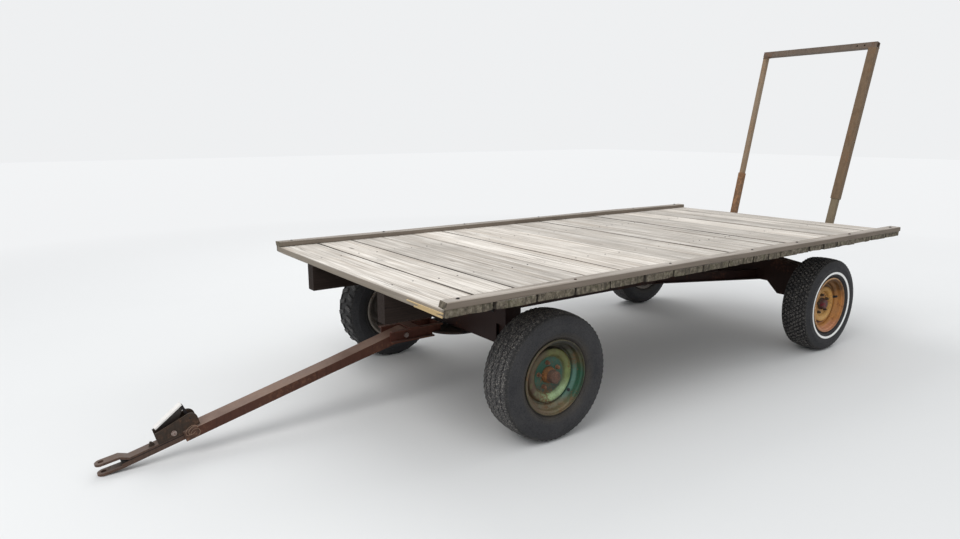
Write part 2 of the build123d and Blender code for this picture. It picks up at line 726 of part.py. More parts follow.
# Latch pedal: a plate on a web that turns on the latch bolt and is held up by the link
pedal_turn = radians(pedal_tilt)
pedal_lift = (link_width + pedal_thickness) / 2 + seat_gap
pedal_rear = (link_top[0], link_top[1] + pedal_lift / cos(pedal_turn))
pedal_front = (pedal_rear[0] - pedal_length * cos(pedal_turn),
               pedal_rear[1] - pedal_length * sin(pedal_turn))
with BuildPart() as latch_pedal:
    with BuildSketch(side_view):
        with BuildLine():
            Line(pedal_front, pedal_rear)
        trace(line_width=pedal_thickness)
    extrude(amount=pedal_width / 2, both=True)
    with BuildSketch(side_view):
        with BuildLine():
            Polyline((bolt_spot[0] - latch_bolt_head_radius, bolt_spot[1]), pedal_front, pedal_rear,
                     (link_top[0] + link_width / 2, link_top[1] - link_width / 2),
                     (bolt_spot[0] + latch_bolt_head_radius, bolt_spot[1]), close=True)
        make_face()
        with Locations(bolt_spot):
            Circle(latch_bolt_head_radius)
            Circle(latch_bolt_radius + pin_fit, mode=Mode.SUBTRACT)
        with Locations(link_top):
            Circle(link_pin_radius + pin_fit, mode=Mode.SUBTRACT)
    extrude(amount=pedal_web_thickness / 2, both=True)
latch_pedal.part.label = "latch_pedal"
export_step(latch_pedal.part, "parts/latch_pedal.step")

# Wheels
wheel_places = (("front_left", 1, front_axle_y, front_tyre_radius, front_tyre_width, False),
                ("front_right", -1, front_axle_y, front_tyre_radius, front_tyre_width, True),
                ("rear_left", 1, rear_axle_y, rear_tyre_radius, rear_tyre_width, False),
                ("rear_right", -1, rear_axle_y, rear_tyre_radius, rear_tyre_width, False))
half_rim = rim_width / 2
nave_face = half_rim - nave_setback
seat_edge = half_rim - rim_flange_width
well_outer = seat_edge - rim_seat_width - rim_well_slope
well_inner = rim_well_offset * 2 - well_outer
bead_radius = rim_radius + seat_gap
bead_half = seat_edge - seat_gap
bead_top = rim_flange_radius + bead_rise
hub_inner = web_outer + spindle_base_length + hub_end_gap - track / 2
hub_flange_face = nave_face - rim_thickness
cap_foot = nave_face + nave_lip
cap_end = nave_face + dust_cap_length
for name, side, wheel_y, tyre_radius, tyre_width, lugged in wheel_places:
    centre = (side * track / 2, wheel_y, tyre_radius)
    profile_plane = Plane(origin=centre, x_dir=(0, 0, 1), z_dir=(0, side, 0))
    wheel_frame = Plane(origin=centre, x_dir=(0, 0, 1), z_dir=(side, 0, 0))
    wheel_axis = Axis(centre, (side, 0, 0))
    half_tyre = tyre_width / 2

    # Tyre: sidewalls, crown and inner hollow, open at the beads
    tread_radius = tyre_radius - (lug_depth if lugged else 0)
    shoulder = half_tyre * shoulder_share
    shoulder_radius = tread_radius - tread_crown
    widest_radius = (tyre_radius + rim_flange_radius) / 2 - tread_crown
    inner_shoulder = shoulder_radius - tyre_wall
    with BuildPart() as tyre:
        with BuildSketch(profile_plane):
            with BuildLine():
                Polyline((shoulder_radius, -shoulder), (tread_radius, -shoulder / 2),
                         (tread_radius, shoulder / 2), (shoulder_radius, shoulder))
                ThreePointArc((shoulder_radius, shoulder), (widest_radius, half_tyre),
                              (bead_top, bead_half))
                Polyline((bead_top, bead_half), (bead_radius, bead_half),
                         (bead_radius, bead_half - tyre_wall), (bead_top, bead_half - tyre_wall),
                         (widest_radius, half_tyre - tyre_wall), (inner_shoulder, shoulder - tyre_wall),
                         (inner_shoulder, tyre_wall - shoulder), (widest_radius, tyre_wall - half_tyre),
                         (bead_top, tyre_wall - bead_half), (bead_radius, tyre_wall - bead_half),
                         (bead_radius, -bead_half), (bead_top, -bead_half))
                ThreePointArc((bead_top, -bead_half), (widest_radius, -half_tyre),
                              (shoulder_radius, -shoulder))
            make_face()
        revolve(axis=wheel_axis)
        if lugged:
            for row, turn in ((1, 0), (-1, 180 / lug_count)):
                with Locations(wheel_frame.location * Location((0, 0, row * lug_row_offset))):
                    with PolarLocations(tread_radius, lug_count, start_angle=turn):
                        Box(2 * lug_depth, lug_thickness, lug_length)
    tyre.part.label = f"tyre_{name}"
    export_step(tyre.part, f"parts/tyre_{name}.step")

    # Rim: drop-centre hoop with flanges, joined to the crowned nave disc
    lip = rim_flange_radius - rim_thickness
    seat_inside = rim_radius - rim_thickness
    well_inside = rim_well_radius - rim_thickness
    with BuildPart() as rim:
        with BuildSketch(profile_plane):
            with BuildLine():
                Polyline((rim_flange_radius, half_rim), (rim_flange_radius, seat_edge),
                         (rim_radius, seat_edge), (rim_radius, seat_edge - rim_seat_width),
                         (rim_well_radius, well_outer), (rim_well_radius, well_inner),
                         (rim_radius, well_inner - rim_well_slope), (rim_radius, -seat_edge),
                         (rim_flange_radius, -seat_edge), (rim_flange_radius, -half_rim),
                         (lip, -half_rim), (seat_inside, -seat_edge - rim_thickness),
                         (seat_inside, well_inner - rim_well_slope), (well_inside, well_inner),
                         (well_inside, well_outer), (seat_inside, seat_edge - rim_seat_width),
                         (seat_inside, seat_edge + rim_thickness), (lip, half_rim), close=True)
            make_face()
        revolve(axis=wheel_axis)
        crown_in = nave_crown_radius - nave_crown_half_width
        crown_out = nave_crown_radius + nave_crown_half_width
        crown_face = nave_face + nave_crown_height
        with BuildSketch(profile_plane):
            with BuildLine():
                Polyline((hub_radius + seat_gap, nave_face), (nave_flat_radius, nave_face),
                         (crown_in, crown_face), (crown_out, crown_face),
                         (well_inside, nave_face + nave_skirt), (well_inside, nave_face),
                         (crown_out, crown_face - nave_skirt), (crown_in, crown_face - nave_skirt),
                         (nave_flat_radius, hub_flange_face), (hub_radius + seat_gap, hub_flange_face),
                         close=True)
            make_face()
        revolve(axis=wheel_axis)
    rim.part.label = f"rim_{name}"
    export_step(rim.part, f"parts/rim_{name}.step")

    # Hub with its mounting flange and dust cap
    with BuildPart() as hub:
        with BuildSketch(profile_plane):
            with BuildLine():
                Polyline((0, spindle_overrun + spindle_end_gap),
                         (spindle_radius + pin_fit, spindle_overrun + spindle_end_gap),
                         (spindle_radius + pin_fit, hub_inner), (hub_radius, hub_inner),
                         (hub_radius, hub_flange_face - hub_flange_thickness),
                         (hub_flange_radius, hub_flange_face - hub_flange_thickness),
                         (hub_flange_radius, hub_flange_face), (hub_radius, hub_flange_face),
                         (hub_radius, cap_foot), (dust_cap_radius, cap_foot),
                         (dust_cap_radius, cap_end - dust_cap_chamfer),
                         (dust_cap_radius - dust_cap_chamfer, cap_end), (0, cap_end), close=True)
            make_face()
        revolve(axis=wheel_axis)
    hub.part.label = f"hub_{name}"
    export_step(hub.part, f"parts/hub_{name}.step")

# Rear frame: leaning tube posts, each on a stub or socket bolted between two plates
bolt_y = deck_rear + post_setback
bar_rise = top_bar_middle - bolt_height
bar_frame = Plane(origin=(0, bolt_y + bar_rise * tan(lean), top_bar_middle), x_dir=(1, 0, 0),
                  z_dir=(0, sin(lean), cos(lean)))
post_reach = bar_rise / cos(lean)
bar_ends = []
for name, side, splay_angle, width, depth, tube_foot, base_top, base_kind in posts:
    splay = radians(splay_angle)
    post_x = side * stringer_spacing / 2
    post_frame = Plane(origin=(post_x, bolt_y, bolt_height), x_dir=(1, 0, 0),
                       z_dir=(side * sin(splay), cos(splay) * sin(lean), cos(splay) * cos(lean)))
    bolt_place = post_frame.location * Location((0, 0, 0), (0, 90, 0))
    bar_ends.append(post_x + side * (post_reach * tan(splay) + width / 2))
    base_growth = 2 * (post_wall + seat_gap) * (1 if base_kind == "socket" else -1)
    base_length = base_top + post_stub_tail
    with BuildPart() as base:
        with Locations(post_frame.location * Location((0, 0, base_top - base_length / 2))):
            Box(width + base_growth, depth + base_growth, base_length)
            if base_kind == "socket":
                Box(width + 2 * seat_gap, depth + 2 * seat_gap, base_length, mode=Mode.SUBTRACT)
        with Locations(bolt_place):
            Cylinder(post_bolt_radius + pin_fit, stringer_width, mode=Mode.SUBTRACT)
    base.part.label = f"post_{base_kind}_{name}"
    export_step(base.part, f"parts/post_{base_kind}_{name}.step")

    with BuildPart() as post:
        with Locations(post_frame.location * Location((0, 0, (tube_foot + post_reach) / 2))):
            Box(width, depth, post_reach - tube_foot)
            Box(width - 2 * post_wall, depth - 2 * post_wall, post_reach - tube_foot, mode=Mode.SUBTRACT)
        with Locations(bar_frame.location):
            Box(2 * stringer_spacing, 2 * top_bar_size, top_bar_size, mode=Mode.SUBTRACT)
    post.part.label = f"rear_post_{name}"
    export_step(post.part, f"parts/rear_post_{name}.step")

    with BuildPart() as bracket:
        for face in (1, -1):
            with Locations((post_x + face * (stringer_width + bracket_thickness) / 2,
                            deck_rear + bracket_reach - bracket_length / 2, bolt_height)):
                Box(bracket_thickness, bracket_length, bracket_height)
        with Locations(bolt_place):
            Cylinder(post_bolt_radius, stringer_width + 2 * (bracket_thickness + post_bolt_end))
    bracket.part.label = f"post_bracket_{name}"
    export_step(bracket.part, f"parts/post_bracket_{name}.step")

# Top bar across the posts, with two holes near its left end
with BuildPart() as top_bar:
    bar_length = bar_ends[0] - bar_ends[1]
    with Locations(bar_frame.location * Location((sum(bar_ends) / 2, 0, 0))):
        Box(bar_length, top_bar_size, top_bar_size)
        Box(bar_length, top_bar_size - 2 * post_wall, top_bar_size - 2 * post_wall, mode=Mode.SUBTRACT)
    for inset in bar_hole_insets:
        with Locations(bar_frame.location * Location((bar_ends[0] - inset, 0, 0), (90, 0, 0))):
            Cylinder(bar_hole_radius, top_bar_size, mode=Mode.SUBTRACT)
top_bar.part.label = "top_bar"
export_step(top_bar.part, "parts/top_bar.step")
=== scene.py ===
"""Looks of the flat hay wagon: weathered deck, rusty running gear, unlike wheels and a leaning rear frame."""
import json
import math
import random

import bmesh
import bpy
from mathutils import Matrix, Vector, noise


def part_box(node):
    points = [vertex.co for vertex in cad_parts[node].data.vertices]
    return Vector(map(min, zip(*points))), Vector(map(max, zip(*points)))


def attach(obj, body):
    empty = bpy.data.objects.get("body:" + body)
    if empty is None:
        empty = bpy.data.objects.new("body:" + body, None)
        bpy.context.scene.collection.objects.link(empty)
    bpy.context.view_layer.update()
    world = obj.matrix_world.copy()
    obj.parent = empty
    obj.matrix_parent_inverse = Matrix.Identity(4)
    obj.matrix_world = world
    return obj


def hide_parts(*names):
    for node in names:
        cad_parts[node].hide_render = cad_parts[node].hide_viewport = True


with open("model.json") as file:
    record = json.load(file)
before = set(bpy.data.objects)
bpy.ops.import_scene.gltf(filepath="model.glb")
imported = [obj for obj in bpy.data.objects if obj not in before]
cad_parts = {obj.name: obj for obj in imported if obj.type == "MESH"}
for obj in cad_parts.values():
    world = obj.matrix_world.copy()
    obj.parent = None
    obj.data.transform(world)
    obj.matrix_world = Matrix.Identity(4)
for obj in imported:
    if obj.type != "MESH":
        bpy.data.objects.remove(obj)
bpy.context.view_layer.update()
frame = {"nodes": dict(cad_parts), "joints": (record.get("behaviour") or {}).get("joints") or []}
nodes = frame["nodes"]


# Places read from the frame


def corners(node):
    low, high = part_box(node)
    return Vector(low), Vector(high)


def middle(node):
    low, high = corners(node)
    return (low + high) / 2


def wheel_place(name):
    """Matrix from a wheel's own frame, local Z pointing outwards, to the wheel's place."""
    centre = middle(f"tyre_{name}")
    side = 1 if centre.x > 0 else -1
    turn = Matrix(((0, 0, side), (0, -side, 0), (1, 0, 0))).to_4x4()
    return Matrix.Translation(centre) @ turn


DECK_LOW, DECK_HIGH = corners("deck_planks")
DECK_TOP = DECK_HIGH.z
TONGUE_PIN = next(Vector(joint["pos_m"]) for joint in frame["joints"] if joint["name"] == "tongue_lift")


# Node helpers


def feed(socket, value):
    if isinstance(value, bpy.types.NodeSocket):
        socket.id_data.links.new(value, socket)
    else:
        socket.default_value = value


def add_node(tree, kind, inputs, **settings):
    node = tree.nodes.new(f"ShaderNode{kind}")
    for key, value in settings.items():
        setattr(node, key, value)
    for key, value in inputs.items():
        feed(node.inputs[key], value)
    return node


class Shader:
    """Adds nodes to one material and feeds their sockets."""

    def __init__(self, name, roughness, gloss=0.5):
        self.material = bpy.data.materials.new(name)
        self.material.use_nodes = True
        self.tree = self.material.node_tree
        self.surface = self.tree.nodes["Principled BSDF"].inputs
        self.surface["Roughness"].default_value = roughness
        self.surface["Specular IOR Level"].default_value = gloss
        self.place = self.add("TexCoord", {}).outputs["Object"]

    def add(self, kind, inputs, **settings):
        return add_node(self.tree, kind, inputs, **settings)

    def moved(self, scale=(1, 1, 1), shift=(0, 0, 0), vector=None):
        feeds = {"Vector": vector or self.place, "Scale": scale, "Location": shift}
        return self.add("Mapping", feeds).outputs["Vector"]

    def noise(self, scale, vector=None, detail=4.0, rough=0.55, warp=0.0):
        feeds = {"Vector": vector or self.place, "Scale": scale, "Detail": detail, "Roughness": rough,
                 "Distortion": warp}
        return self.add("TexNoise", feeds).outputs["Fac"]

    def cells(self, scale, vector=None):
        feeds = {"Vector": vector or self.place, "Scale": scale}
        return self.add("TexVoronoi", feeds).outputs["Distance"]

    def ramp(self, value, stops):
        node = self.add("ValToRGB", {"Fac": value})
        elements = node.color_ramp.elements
        while len(elements) < len(stops):
            elements.new(0.5)
        for element, (position, colour) in zip(elements, stops):
            element.position = position
            element.color = (*colour, 1.0)
        return node.outputs["Color"]

    def fade(self, value, low, high, to_low=0.0, to_high=1.0):
        feeds = {"Value": value, "From Min": low, "From Max": high, "To Min": to_low, "To Max": to_high}
        return self.add("MapRange", feeds).outputs["Result"]

    def band(self, value, low, high, edge):
        """1 between low and high, falling to 0 over edge."""
        return self.times(self.fade(value, low - edge, low), self.fade(value, high, high + edge, 1.0, 0.0))

    def calc(self, operation, first, second=0.0):
        return self.add("Math", {0: first, 1: second}, operation=operation).outputs["Value"]

    def times(self, first, second):
        return self.calc("MULTIPLY", first, second)

    def weigh(self, first, *others):
        """Sum of values, each given with its weight."""
        total = self.times(*first)
        for pair in others:
            total = self.calc("ADD", total, self.times(*pair))
        return total

    def blend(self, amount, first, second, kind="MIX"):
        """Mixes two colours, each of them a socket or three channels."""
        first, second = ((*shade, 1.0) if isinstance(shade, tuple) else shade for shade in (first, second))
        node = self.add("Mix", {}, data_type="RGBA", blend_type=kind)
        for index, value in ((0, amount), (6, first), (7, second)):
            feed(node.inputs[index], value)
        return node.outputs[2]

    def attribute(self, name):
        return self.add("Attribute", {}, attribute_name=name).outputs["Fac"]

    def axis_values(self, vector=None):
        return self.add("SeparateXYZ", {"Vector": vector or self.place}).outputs

    def looks_along(self, axis):
        """1 on faces that look along the axis, 0 on those beside it and -1 on those against it."""
        return self.axis_values(self.add("NewGeometry", {}).outputs["Normal"])[axis]

    def distance(self, first, second):
        return self.calc("SQRT", self.weigh((first, first), (second, second)))

    def from_axle(self, place):
        """Distance from a wheel's axle, and the axes measured from the wheel's centre."""
        parts = self.axis_values(self.moved(shift=tuple(-value for value in place)))
        return self.distance(parts["Y"], parts["Z"]), parts

    def bump(self, height, strength, depth):
        feeds = {"Height": height, "Strength": strength, "Distance": depth}
        return self.add("Bump", feeds).outputs["Normal"]

    def done(self, colour, roughness=None, normal=None, metallic=None):
        for name, value in (("Base Color", colour), ("Roughness", roughness), ("Normal", normal),
                            ("Metallic", metallic)):
            if value is not None:
                feed(self.surface[name], value)
        return self.material


def scaled(colour, share):
    return tuple(channel * share for channel in colour)


def tinted(colour, shares):
    return tuple(channel * share for channel, share in zip(colour, shares))


# Wood


def board_place(s):
    """Moves the pattern by each board's tone, so that no two boards are alike."""
    tone = s.attribute("tone")
    steps = {axis: s.times(tone, step) for axis, step in (("X", 31.0), ("Y", 17.0), ("Z", 23.0))}
    shift = s.add("CombineXYZ", steps).outputs["Vector"]
    return s.add("VectorMath", {0: s.place, 1: shift}, operation="ADD").outputs["Vector"]


def toned_boards(s, colour, mid):
    """Makes each board lighter or darker by its tone, and its worn ends darker."""
    shade = s.fade(s.attribute("tone"), 0.0, 1.0, 0.8, 1.12)
    grey = s.add("CombineColor", {"Red": shade, "Green": shade, "Blue": shade}).outputs["Color"]
    colour = s.blend(1.0, colour, grey, "MULTIPLY")
    return s.blend(s.times(s.attribute("worn"), 0.35), colour, scaled(mid, 0.62))


def sawn_ends(s, colour, shaded, mossy):
    """Split end grain on the sawn faces and moss by the ends."""
    end_grain = s.ramp(s.noise(44.0, detail=5.0, rough=0.68),
                       ((0.36, (0.028, 0.022, 0.015)), (0.5, (0.112, 0.094, 0.066)), (0.64, (0.225, 0.195, 0.143))))
    splits = s.noise(1.0, s.moved(scale=(2.0, 46.0, 5.0)), detail=3.0, rough=0.6)
    end_grain = s.blend(s.fade(splits, 0.54, 0.6, 0.0, 0.85), end_grain, (0.022, 0.017, 0.012))
    colour = s.blend(s.times(s.attribute("cut"), 0.85), colour, end_grain)
    moss = s.times(s.attribute("worn"), s.fade(s.noise(24.0, detail=5.0), 0.52, 0.64, 0.0, mossy))
    return s.blend(s.times(moss, s.fade(shaded, 0.0, 0.6, 0.15, 1.0)), colour, (0.1, 0.105, 0.05))


def weathered_wood(name, along, pale, mid, dark, mossy=0.0, boards=False, side_shade=(0.4, 0.36, 0.31)):
    """Grey bare timber. along is the axis of the grain: 0 for X, 1 for Y, 2 for Z.

    boards is for pieces whose boards carry their own tone, wear, cuts and seams; the seams are darkened as painted
    shade. side_shade is the share of each channel of mid that is left on faces that don't look up.
    """
    s = Shader(name, 0.85, 0.2)
    place = board_place(s) if boards else s.place

    def stretched(lengthwise, across):
        scale = [across, across, across]
        scale[along] = lengthwise
        return s.moved(scale=tuple(scale), vector=place)

    def streaks(lengthwise, across, **looks):
        return s.noise(1.0, stretched(lengthwise, across), **looks)

    grain = streaks(1.6, 95.0, detail=6.0, rough=0.65, warp=0.4)
    bands = streaks(0.7, 17.0, rough=0.6, warp=1.2)
    fibres = streaks(9.0, 330.0, detail=3.0, rough=0.6)
    brown = streaks(0.8, 30.0, rough=0.65, warp=0.8)
    stain = s.noise(2.3, place, detail=5.0, rough=0.6)
    knot = s.fade(s.cells(1.0, stretched(1.5, 5.5)), 0.035, 0.075, 1.0, 0.0)
    checks = streaks(0.9, 62.0, detail=2.0, rough=0.4, warp=0.3)
    crack = s.fade(s.calc("ABSOLUTE", s.calc("SUBTRACT", checks, 0.5)), 0.0, 0.016, 1.0, 0.0)
    crack = s.times(crack, s.fade(streaks(1.1, 7.0, detail=2.0), 0.52, 0.66))
    colour = s.ramp(s.weigh((grain, 0.55), (bands, 0.45)), ((0.34, dark), (0.475, mid), (0.585, pale)))
    colour = s.blend(s.fade(fibres, 0.35, 0.75, 0.0, 0.35), colour, scaled(mid, 0.62))
    colour = s.blend(s.fade(brown, 0.5, 0.66, 0.0, 0.75), colour, tinted(mid, (0.72, 0.66, 0.6)))
    colour = s.blend(s.fade(stain, 0.48, 0.68, 0.0, 0.6), colour, scaled(mid, 0.68))
    if boards:
        colour = toned_boards(s, colour, mid)
    shaded = s.fade(s.looks_along("Z"), 0.25, 0.85, 0.8, 0.0)
    colour = s.blend(shaded, colour, tinted(mid, side_shade))
    if boards:
        colour = sawn_ends(s, colour, shaded, mossy)
    colour = s.blend(s.times(knot, 0.75), colour, scaled(dark, 0.42))
    colour = s.blend(s.times(crack, 0.85), colour, scaled(dark, 0.22))
    if boards:
        # Painted shade: the seams between the boards are darkened almost to black.
        colour = s.blend(s.times(s.attribute("seam"), 0.93), colour, (0.02, 0.016, 0.012))
    height = s.weigh((grain, 0.6), (fibres, 0.25), (crack, -1.1))
    return s.done(colour, s.fade(grain, 0.3, 0.7, 0.92, 0.72), s.bump(height, 0.75, 0.0022))


planks_look = weathered_wood(
    "deck plank wood", 0, (0.82, 0.77, 0.7), (0.58, 0.53, 0.47), (0.25, 0.215, 0.18), mossy=0.28, boards=True)
rails_look = weathered_wood(
    "rail wood", 1, (0.46, 0.415, 0.365), (0.335, 0.295, 0.255), (0.15, 0.125, 0.1), mossy=0.25, boards=True,
    side_shade=(0.47, 0.42, 0.37))
# The stringers' timber is made nearly black, as painted shade under the deck.
shaded_stringer_look = weathered_wood("stringer timber darkened as painted shade", 1, (0.06, 0.042, 0.036), (0.038, 0.026, 0.022), (0.018, 0.013, 0.011))
stub_look = weathered_wood("post stub timber", 2, (0.45, 0.38, 0.28), (0.385, 0.325, 0.235), (0.13, 0.105, 0.075))
splinter_look = weathered_wood("splintered wood", 0, (0.8, 0.66, 0.42), (0.95, 0.74, 0.42), (0.42, 0.3, 0.15))


# Metal


def rusty_paint(name, paint, rust, dust, dust_share, rust_share, scale=1.0):
    """Old paint with rust spots, streaks and dust on what faces up."""
    s = Shader(name, 0.7, 0.2)
    broad = s.noise(3.1 * scale, detail=5.0, rough=0.62)
    fine = s.noise(38.0 * scale, detail=6.0, rough=0.7)
    pits = s.fade(s.cells(260.0), 0.0, 0.5)
    streaks = s.noise(1.0, s.moved(scale=(55.0, 55.0, 5.0)))
    rusted = s.fade(s.weigh((broad, 0.6), (fine, 0.4)), 0.6 - 0.22 * rust_share, 0.68 - 0.16 * rust_share)
    shade = s.blend(s.fade(fine, 0.3, 0.7, 0.0, 0.5), paint, scaled(paint, 0.55))
    rust_tone = s.ramp(fine, ((0.32, scaled(rust, 0.45)), (0.52, rust), (0.68, scaled(rust, 1.6))))
    colour = s.blend(rusted, shade, rust_tone)
    colour = s.blend(s.fade(streaks, 0.52, 0.7, 0.0, 0.45), colour, scaled(paint, 0.4))
    settled = s.times(s.fade(s.looks_along("Z"), 0.35, 0.95), s.fade(broad, 0.35, 0.62, 0.45, 1.0))
    colour = s.blend(s.times(settled, dust_share), colour, dust)
    height = s.weigh((fine, 0.7), (rusted, 0.35), (pits, 0.25))
    return s.done(colour, s.fade(rusted, 0.0, 1.0, 0.55, 0.88), s.bump(height, 0.55, 0.0012))


def chipped_white(name, fresh, dull, chip_from, web_half=None):
    """White with dull patches and chips. web_half is half the thickness of a dark web under a white plate."""
    s = Shader(name, 0.5)
    fine = s.noise(95.0, detail=6.0, rough=0.7)
    broad = s.noise(18.0)
    chip = s.fade(s.weigh((fine, 0.5), (broad, 0.5)), chip_from, chip_from + 0.03)
    colour = s.blend(s.fade(fine, 0.3, 0.7, 0.0, 0.25), fresh, dull)
    colour = s.blend(s.fade(broad, 0.45, 0.65, 0.0, 0.35), colour, dull)
    colour = s.blend(chip, colour, (0.2, 0.12, 0.08))
    if web_half is not None:
        sideways = s.fade(s.calc("ABSOLUTE", s.looks_along("X")), 0.5, 0.6)
        across = s.calc("ABSOLUTE", s.axis_values()["X"])
        web = s.times(sideways, s.fade(across, web_half, web_half + 0.002, 1.0, 0.0))
        colour = s.blend(web, colour, (0.03, 0.022, 0.018))
    normal = s.bump(s.weigh((fine, 0.4), (chip, -1.0)), 0.4, 0.0006)
    return s.done(colour, s.fade(chip, 0.0, 1.0, 0.45, 0.85), normal)


def worn_bright(name):
    s = Shader(name, 0.5)
    fine = s.noise(90.0, detail=5.0, rough=0.65)
    rusted = s.fade(fine, 0.46, 0.6)
    colour = s.blend(rusted, (0.3, 0.245, 0.22), (0.15, 0.085, 0.065))
    return s.done(colour, s.fade(rusted, 0.0, 1.0, 0.42, 0.85), s.bump(fine, 0.3, 0.0006),
                  s.fade(rusted, 0.0, 1.0, 0.7, 0.1))


# Each look is its paint, its rust, its dust, how much dust and rust, and how fine its spots are.
# The running gear's paint is darkened far below its own colour, as painted shade for its place under the deck.
shaded_frame_look = rusty_paint(
    "running gear paint darkened as painted shade", (0.022, 0.0075, 0.005), (0.06, 0.026, 0.016), (0.105, 0.078, 0.06), 0.5, 0.35)
tongue_look = rusty_paint("tongue paint", (0.078, 0.03, 0.019), (0.096, 0.044, 0.027), (0.24, 0.166, 0.128), 0.9, 0.5)
bracket_look = rusty_paint(
    "tongue bracket paint", (0.088, 0.031, 0.02), (0.118, 0.049, 0.029), (0.155, 0.105, 0.085), 0.8, 0.4)
jaw_look = rusty_paint("hitch steel", (0.088, 0.054, 0.04), (0.1, 0.056, 0.04), (0.16, 0.12, 0.098), 0.7, 0.5)
dark_look = rusty_paint(
    "latch and plate steel", (0.024, 0.02, 0.021), (0.07, 0.038, 0.026), (0.09, 0.072, 0.058), 0.45, 0.35)
latch_look = rusty_paint("latch steel", (0.042, 0.029, 0.021), (0.07, 0.04, 0.026), (0.08, 0.06, 0.045), 0.5, 0.5)
collar_look = rusty_paint("collar rust", (0.065, 0.036, 0.026), (0.115, 0.062, 0.042), (0.14, 0.1, 0.08), 0.6, 0.65)
post_look = rusty_paint("post steel", (0.178, 0.118, 0.07), (0.16, 0.09, 0.048), (0.23, 0.165, 0.112), 0.5, 0.45)
pale_post_look = rusty_paint(
    "pale post steel", (0.27, 0.198, 0.132), (0.235, 0.155, 0.095), (0.28, 0.22, 0.16), 0.5, 0.45)
bar_look = rusty_paint("top bar steel", (0.15, 0.112, 0.085), (0.135, 0.08, 0.052), (0.22, 0.18, 0.15), 0.5, 0.45)
socket_look = rusty_paint("socket rust", (0.19, 0.11, 0.062), (0.235, 0.125, 0.065), (0.24, 0.17, 0.12), 0.3, 0.7)
hub_look = rusty_paint("hub rust", (0.17, 0.08, 0.036), (0.27, 0.12, 0.045), (0.22, 0.14, 0.09), 0.35, 0.75, 3.0)
nut_look = rusty_paint("nut rust", (0.16, 0.085, 0.055), (0.27, 0.135, 0.075), (0.32, 0.19, 0.13), 0.5, 0.6, 4.0)
maroon_look = rusty_paint(
    "maroon cap paint", (0.095, 0.075, 0.064), (0.185, 0.02, 0.034), (0.13, 0.09, 0.075), 0.3, 0.62, 4.0)
wheel_hub_look = rusty_paint(
    "grimy hub paint", (0.085, 0.062, 0.042), (0.1, 0.06, 0.038), (0.14, 0.11, 0.08), 0.4, 0.5, 3.0)
cap_look = rusty_paint(
    "dust cap grime", (0.085, 0.055, 0.042), (0.12, 0.065, 0.045), (0.15, 0.11, 0.085), 0.4, 0.5, 3.0)
# A near-black look for the box of painted shade in the gap under the hitch's upper strap.
strap_gap_shade_look = rusty_paint("shadowed seam", (0.01, 0.008, 0.007), (0.016, 0.011, 0.009), (0.02, 0.015, 0.012), 0.2, 0.3)
wire_look = rusty_paint("rusty wire", (0.26, 0.165, 0.115), (0.3, 0.18, 0.12), (0.2, 0.14, 0.1), 0.3, 0.5, 3.0)
ring_look = chipped_white("whitewall rubber", (0.9, 0.9, 0.87), (0.7, 0.7, 0.66), 0.7)
white_look = chipped_white("chipped white paint", (0.8, 0.77, 0.73), (0.6, 0.58, 0.55), 0.62, 0.0068)
bright_look = worn_bright("worn pin steel")


# Rubber and wheel paint

FLANGE_RADIUS = 0.2095
RING_RATE = 1400.0
RUBBER_DARK, RUBBER_PALE = (0.014, 0.014, 0.016), (0.031, 0.031, 0.034)
SIDE_DUST, RIM_DUST, TREAD_DUST = (0.095, 0.09, 0.086), (0.085, 0.068, 0.047), (0.235, 0.22, 0.2)
PAINT_REACH = 0.22
TINT_EDGE = 0.004


def dusty_rubber_and_groove_shade(name, place, radius, fleck_share, side_dust, bead_dust):
    """Near-black rubber with dust flecks on the tread, dust by the rim and painted shade low in the tread. place is the
    wheel's centre.
    """
    s = Shader(name, 0.82, 0.3)
    reach = s.from_axle(place)[0]
    fine = s.noise(120.0, detail=5.0, rough=0.7)
    broad = s.noise(7.0, detail=5.0, rough=0.65)
    tread = s.fade(reach, radius - 0.026, radius - 0.01)
    # floor marks the low parts of the tread, where shade is painted.
    floor = s.fade(reach, radius - 0.011, radius - 0.006, 1.0, 0.0)
    colour = s.blend(s.fade(fine, 0.3, 0.7), RUBBER_DARK, RUBBER_PALE)
    colour = s.blend(s.times(s.fade(broad, 0.38, 0.68, 0.15, 1.0), side_dust), colour, SIDE_DUST)
    waves = s.fade(s.calc("SINE", s.times(reach, RING_RATE)), 0.2, 1.0)
    rings = s.times(waves, s.calc("SUBTRACT", 1.0, tread))
    colour = s.blend(s.times(rings, s.fade(broad, 0.35, 0.6, 0.05, 0.3)), colour, SIDE_DUST)
    by_rim = s.fade(reach, FLANGE_RADIUS + 0.008, FLANGE_RADIUS + 0.048, 1.0, 0.0)
    patches = s.fade(s.noise(11.0, detail=5.0), 0.36, 0.62, bead_dust * 0.4, bead_dust)
    colour = s.blend(s.times(by_rim, patches), colour, RIM_DUST)
    flecks = s.fade(s.noise(130.0, detail=3.0, rough=0.6, warp=0.8), 0.53, 0.6, 0.05, fleck_share)
    colour = s.blend(s.times(flecks, tread), colour, TREAD_DUST)
    # Painted shade: the low parts of the tread, between its ribs and blocks, are darkened almost to black.
    colour = s.blend(s.times(s.times(tread, floor), 0.8), colour, (0.008, 0.008, 0.008))
    height = s.weigh((fine, 1.0), (s.noise(420.0, detail=3.0), 0.5), (rings, 0.7))
    return s.done(colour, s.fade(flecks, 0.0, 0.6, 0.68, 0.95), s.bump(height, 0.35, 0.0009))


